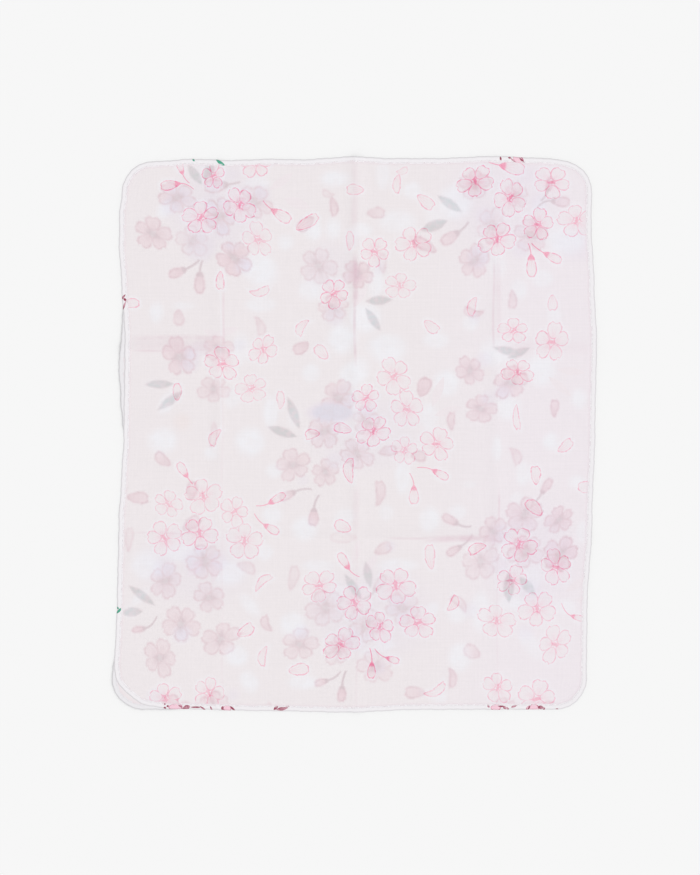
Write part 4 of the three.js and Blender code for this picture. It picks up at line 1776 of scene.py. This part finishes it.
@dataclass(frozen=True)
class GauzeFinish:
    """How one side of the gauze takes the print. Colours are as they look in even light, except the painted
    light and shade: the lighter right side of the ground, the darker and paler creases, and the band just
    inside the hem.
    """

    name: str
    ground: Colour
    # Painted light: the ground is drawn lighter and cooler towards the right
    ground_lit_right: Colour
    pale: Colour
    fill: Colour
    line: Colour
    heart: Colour
    leaf: Colour
    lavender: Colour
    indigo: Colour
    warm: Colour
    # Painted shade along the creases, and painted shade in a band just inside the hem
    crease: Colour
    rim: Colour
    fill_share: float
    line_share: float
    vein_share: float
    heart_share: float
    leaf_share: float
    clear_share: float
    # Shares of the painted shade and light along the creases, and of the painted shade inside the hem
    crease_shading_share: float
    hem_edge_shade_share: float
    line_half_width: float
    softness: float
    cover: float
    cover_vary: float

    warm_share = 0.35
    roughness = 0.86
    relief = 0.15
    relief_depth = 0.1

    def dress(self, groups: Groups) -> bpy.types.Material:
        """Makes the material: the print's washes, fills and lines over the ground, on threads with gaps.

        Args:
            groups: the shared node groups.

        Returns:
            The material.
        """
        material, g, shader = new_material(self.name)
        threads, _ = g.attribute(THREADS)
        pale, lavender, warm = g.parts(g.attribute(WASH)[0])
        weave = g.group(groups.weave, Place=threads, Pitch=WEAVE_PITCH)
        cloud = g.group(groups.cloud, Place=threads, Wash=pale)
        lie = g.group(groups.lie, Place=threads)
        drawn = g.group(groups.print, Line=self.line_half_width, Soft=self.softness)

        # Painted light: the ground lighter and cooler towards the right
        colour = g.blend(lie["Right"], linear(self.ground), linear(self.ground_lit_right))
        colour = g.blend(cloud["Mask"], colour, linear(self.pale))
        colour = g.lay(colour, drawn["Clear"], self.clear_share, self.pale)
        colour = g.lay(colour, warm, self.warm_share, self.warm)
        colour = g.blend(lavender, colour, linear(self.lavender))
        tint = g.least(g.times(lavender, 2.2), 1.0)
        ink = g.blend(tint, linear(self.fill), linear(self.lavender))
        colour = g.blend(g.times(drawn["Fill"], self.fill_share), colour, ink)
        colour = g.lay(colour, g.times(drawn["Leaf"], cloud["Brush"]), self.leaf_share, self.leaf)
        colour = g.lay(colour, drawn["Vein"], self.vein_share, self.line)
        stroke = g.times(g.times(drawn["Line"], cloud["Brush"]), self.line_share)
        colour = g.blend(g.least(stroke, 1.0), colour, linear(self.line))
        colour = g.lay(colour, g.most(drawn["Heart"], drawn["Stroke"]), self.heart_share, self.heart)
        colour = g.blend(g.run(lavender, 0.55, 0.95, 0.0, 0.75), colour, linear(self.indigo))
        # Painted shade along the creases, and painted light in the pale colour on their lit side
        colour = g.lay(colour, lie["Crease shade"], self.crease_shading_share, self.crease)
        colour = g.lay(colour, lie["Crease light"], self.crease_shading_share, self.pale)
        # Painted shade in a band just inside the hem
        colour = g.lay(colour, lie["Hem edge shade"], self.hem_edge_shade_share, self.rim)
        shade = g.times(g.scaled(weave["Slub"], 0.04, 0.98), g.scaled(weave["Thread"], 0.008, 0.992))

        seen_from = g.node("ShaderNodeNewGeometry").outputs["Backfacing"]
        cover = g.scaled(weave["Slub"], self.cover_vary, self.cover - 0.5 * self.cover_vary)
        g.feed(
            shader,
            Base_Color=g.shaded(colour, shade),
            Roughness=g.scaled(weave["Slub"], 0.1, self.roughness),
            Specular_IOR_Level=0.15,
            Sheen_Weight=0.06,
            Sheen_Roughness=0.6,
            Normal=g.bump(weave["Height"], self.relief, self.relief_depth),
            Alpha=g.times(cover, g.minus(1.0, seen_from)),
        )
        return material


class Face(Enum):
    """One side of the gauze, with the finish that it has."""

    WRONG = GauzeFinish(
        name="gauze wrong side",
        ground=(237, 231, 233),
        # painted light on the right
        ground_lit_right=(238, 231, 236),
        pale=(240, 241, 246),
        fill=(238, 229, 233),
        line=(244, 128, 168),
        heart=(244, 112, 156),
        leaf=(214, 222, 220),
        lavender=(226, 222, 236),
        indigo=(226, 222, 236),
        warm=(240, 226, 222),
        # painted shade along the creases
        crease=(228, 204, 213),
        # painted shade just inside the hem
        rim=(234, 220, 226),
        fill_share=0.9,
        line_share=0.9,
        vein_share=0.25,
        heart_share=0.85,
        leaf_share=0.0,
        clear_share=0.65,
        # shares of the painted crease shade and light, and of the painted shade inside the hem
        crease_shading_share=0.7,
        hem_edge_shade_share=0.5,
        line_half_width=0.36,
        softness=0.24,
        cover=0.7,
        cover_vary=0.1,
    )
    PRINTED = GauzeFinish(
        name="gauze printed side",
        ground=(237, 230, 232),
        # painted light on the right
        ground_lit_right=(237, 230, 234),
        pale=(239, 240, 246),
        fill=(222, 146, 168),
        line=(186, 90, 122),
        heart=(146, 70, 100),
        leaf=(108, 138, 136),
        lavender=(204, 188, 226),
        indigo=(184, 190, 220),
        warm=(240, 206, 190),
        # painted shade along the creases
        crease=(206, 164, 182),
        # painted shade just inside the hem
        rim=(232, 208, 218),
        fill_share=0.85,
        line_share=1.15,
        vein_share=0.4,
        heart_share=0.9,
        leaf_share=0.88,
        clear_share=0.1,
        # shares of the painted crease shade and light, and of the painted shade inside the hem
        crease_shading_share=0.7,
        hem_edge_shade_share=0.15,
        line_half_width=0.6,
        softness=1.05,
        cover=1.0,
        cover_vary=0.0,
    )


@dataclass(frozen=True)
class HemFinish:
    """The hem: three thicknesses of gauze, so whiter and closed, with painted shade where it turns over the
    edge.
    """

    name: str = "turned hem"
    ground: Colour = (241, 238, 241)
    fill: Colour = (247, 200, 216)
    line: Colour = (196, 96, 130)
    dark: Colour = (150, 60, 84)
    leaf: Colour = (84, 168, 142)

    fill_share = 0.85
    line_half_width = 0.25
    softness = 0.16
    roughness = 0.84
    relief = 0.35
    relief_depth = 0.12

    def dress(self, groups: Groups) -> bpy.types.Material:
        """Makes the hem's material.

        Args:
            groups: the shared node groups.

        Returns:
            The material.
        """
        material, g, shader = new_material(self.name)
        threads, _ = g.attribute(THREADS)
        weave = g.group(groups.weave, Place=threads, Pitch=WEAVE_PITCH)
        cloud = g.group(groups.cloud, Place=threads, Wash=0.5)
        drawn = g.group(groups.print, Line=self.line_half_width, Soft=self.softness)
        colour = g.lay(linear(self.ground), drawn["Fill"], self.fill_share, self.fill)
        colour = g.blend(g.times(drawn["Line"], cloud["Brush"]), colour, linear(self.line))
        colour = g.blend(g.times(drawn["Stroke"], cloud["Brush"]), colour, linear(self.dark))
        colour = g.blend(drawn["Leaf"], colour, linear(self.leaf))
        # Painted shade on the outermost millimetre, where the roll turns over the edge
        edge_shade = g.run(g.parts(threads)[0], 0.1, 1.1, 0.78, 1.0)
        g.feed(
            shader,
            Base_Color=g.shaded(colour, g.times(edge_shade, g.scaled(weave["Slub"], 0.06, 0.97))),
            Roughness=g.scaled(weave["Slub"], 0.1, self.roughness),
            Specular_IOR_Level=0.2,
            Sheen_Weight=0.08,
            Normal=g.bump(weave["Height"], self.relief, self.relief_depth),
        )
        return material


@dataclass(frozen=True)
class ThreadFinish:
    """White cotton sewing thread, in two twisted strands."""

    name: str = "sewing thread"
    light: Colour = (241, 238, 241)
    shade: Colour = (230, 226, 230)

    twist_scale = 1400.0
    relief = 0.3
    relief_depth = 0.04

    def dress(self) -> bpy.types.Material:
        """Makes the thread's material: fine slanting bands for the twist, in colour, roughness and bump.

        Returns:
            The material.
        """
        material, g, shader = new_material(self.name)
        place = g.node("ShaderNodeTexCoord").outputs["Object"]
        twist = g.node("ShaderNodeTexWave", wave_type="BANDS", bands_direction="DIAGONAL")
        g.feed(twist, Vector=place, Scale=self.twist_scale, Distortion=0.6)
        band = twist.outputs["Fac"]
        g.feed(
            shader,
            Base_Color=g.blend(band, linear(self.shade), linear(self.light)),
            Roughness=g.scaled(band, -0.15, 0.8),
            Specular_IOR_Level=0.3,
            Normal=g.bump(band, self.relief, self.relief_depth),
        )
        return material


@dataclass(frozen=True)
class Handkerchief:
    """The whole cloth: two plies, each a sheet of gauze with its hem and the hem's thread."""

    groups: Groups

    def build(self) -> list[bpy.types.Object]:
        """Makes and dresses both plies, and attaches them to the body.

        Returns:
            The pieces.
        """
        faces = {face: face.value.dress(self.groups) for face in Face}
        thread_material = ThreadFinish().dress()
        bare = Print((Figure(Kind.BARE, 0, 0, 1, 1, 0),), margin=-1e9)
        pieces, under = [], "floor"
        # The back ply's hem has a darker ground: partly its thinner roll, mostly painted shade, as it lies
        # lower beside the front one
        back_hem_in_shade = HemFinish("turned hem of the back ply", ground=(236, 234, 237))
        for ply, edging, finish in ((Ply.BACK, bare, back_hem_in_shade), (Ply.FRONT, hem_print(), HemFinish())):
            layer = GauzeSheet(ply)
            sheet = layer.build(cloth_print(ply))
            below = Face.PRINTED if layer.above is Face.WRONG else Face.WRONG
            for face in (layer.above, below):
                sheet.data.materials.append(faces[face])
            hem = Hem(ply).build(edging)
            hem.data.materials.append(finish.dress(self.groups))
            thread = Hem(ply).build_thread()
            thread.data.materials.append(thread_material)
            for piece in (sheet, hem, thread):
                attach(piece, BODY)
                log.info("%s: %d faces", piece.name, len(piece.data.polygons))
            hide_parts(f"{ply.value}_ply")
            pieces += [sheet, hem, thread]
            under = sheet.name
            if ply is Ply.FRONT:
                self.let_light_through(sheet)
                self.let_light_through(hem)
        return pieces

    def let_light_through(self, piece: bpy.types.Object) -> None:
        """Sheer gauze hardly shades what lies under it, so only the camera meets this piece.

        Args:
            piece: the piece.
        """
        piece.visible_shadow = False
        piece.visible_diffuse = False
        piece.visible_glossy = False
        piece.visible_transmission = False


@dataclass(frozen=True)
class Studio:
    """Pale floor, even light with a soft key from the lower right, and a camera straight above."""

    floor_colour: Colour = (246, 246, 246)
    floor_half: float = 4.0
    floor_drop: float = 0.0002
    sky: float = 0.86
    key: float = 0.55
    key_angle: float = 40.0
    key_turn: float = -42.0
    key_height: float = 58.0
    view_height: float = 2.6
    frame_height: float = 553.0
    aim: tuple[float, float] = (-2.84, -1.9)

    def build(self) -> None:
        """Makes the floor, the lights and the camera."""
        self.make_floor()
        self.make_light()
        self.make_camera()

    def make_floor(self) -> None:
        """A plain pale floor just under the cloth."""
        half = self.floor_half
        corners = [(-half, -half), (half, -half), (half, half), (-half, half)]
        mesh = bpy.data.meshes.new("floor")
        mesh.from_pydata([(x, y, -self.floor_drop) for x, y in corners], [], [(0, 1, 2, 3)])
        floor = bpy.data.objects.new("floor", mesh)
        bpy.context.scene.collection.objects.link(floor)
        material, g, shader = new_material("floor paint")
        g.feed(shader, Base_Color=linear(self.floor_colour), Roughness=1.0, Specular_IOR_Level=0.0)
        mesh.materials.append(material)

    def make_light(self) -> None:
        """Even light from all round, and a wide soft key whose light reaches everything alike."""
        scene = bpy.context.scene
        world = bpy.data.worlds.new("studio")
        world.use_nodes = True
        sky = world.node_tree.nodes["Background"]
        sky.inputs["Color"].default_value = (1.0, 1.0, 1.0, 1.0)
        sky.inputs["Strength"].default_value = self.sky
        scene.world = world
        scene.view_settings.view_transform = "Standard"
        scene.view_settings.look = "None"
        lamp = bpy.data.lights.new("key", "SUN")
        lamp.energy = self.key
        lamp.angle = math.radians(self.key_angle)
        key = bpy.data.objects.new("key", lamp)
        turn, rise = math.radians(self.key_turn), math.radians(self.key_height)
        toward = Vector((math.cos(turn) * math.cos(rise), math.sin(turn) * math.cos(rise), math.sin(rise)))
        key.rotation_euler = toward.to_track_quat("Z", "Y").to_euler()
        scene.collection.objects.link(key)

    def make_camera(self) -> None:
        """A long lens straight above, whose view is frame_height long at the floor."""
        camera = bpy.data.cameras.new("camera")
        camera.sensor_width = 36.0
        camera.lens = camera.sensor_width * self.view_height / (self.frame_height * MM)
        camera.clip_end = 20.0
        seen = bpy.data.objects.new("camera", camera)
        middle = PANEL.middle()
        seen.location = [(a - m) * MM for a, m in zip(self.aim, middle)] + [self.view_height]
        bpy.context.scene.collection.objects.link(seen)
        bpy.context.scene.camera = seen


def main() -> None:
    """Builds the studio and the handkerchief."""
    logging.basicConfig(level=logging.INFO, format="%(name)s: %(message)s")
    Studio().build()
    log.info("studio: floor, light and camera")
    groups = Groups(
        print=print_group(figure_group()),
        weave=weave_group(),
        cloud=cloud_group(),
        lie=lie_shading_group(crease_shading_group()),
    )
    pieces = Handkerchief(groups).build()
    log.info("handkerchief: %d pieces", len(pieces))


if __name__ == "__main__":
    main()
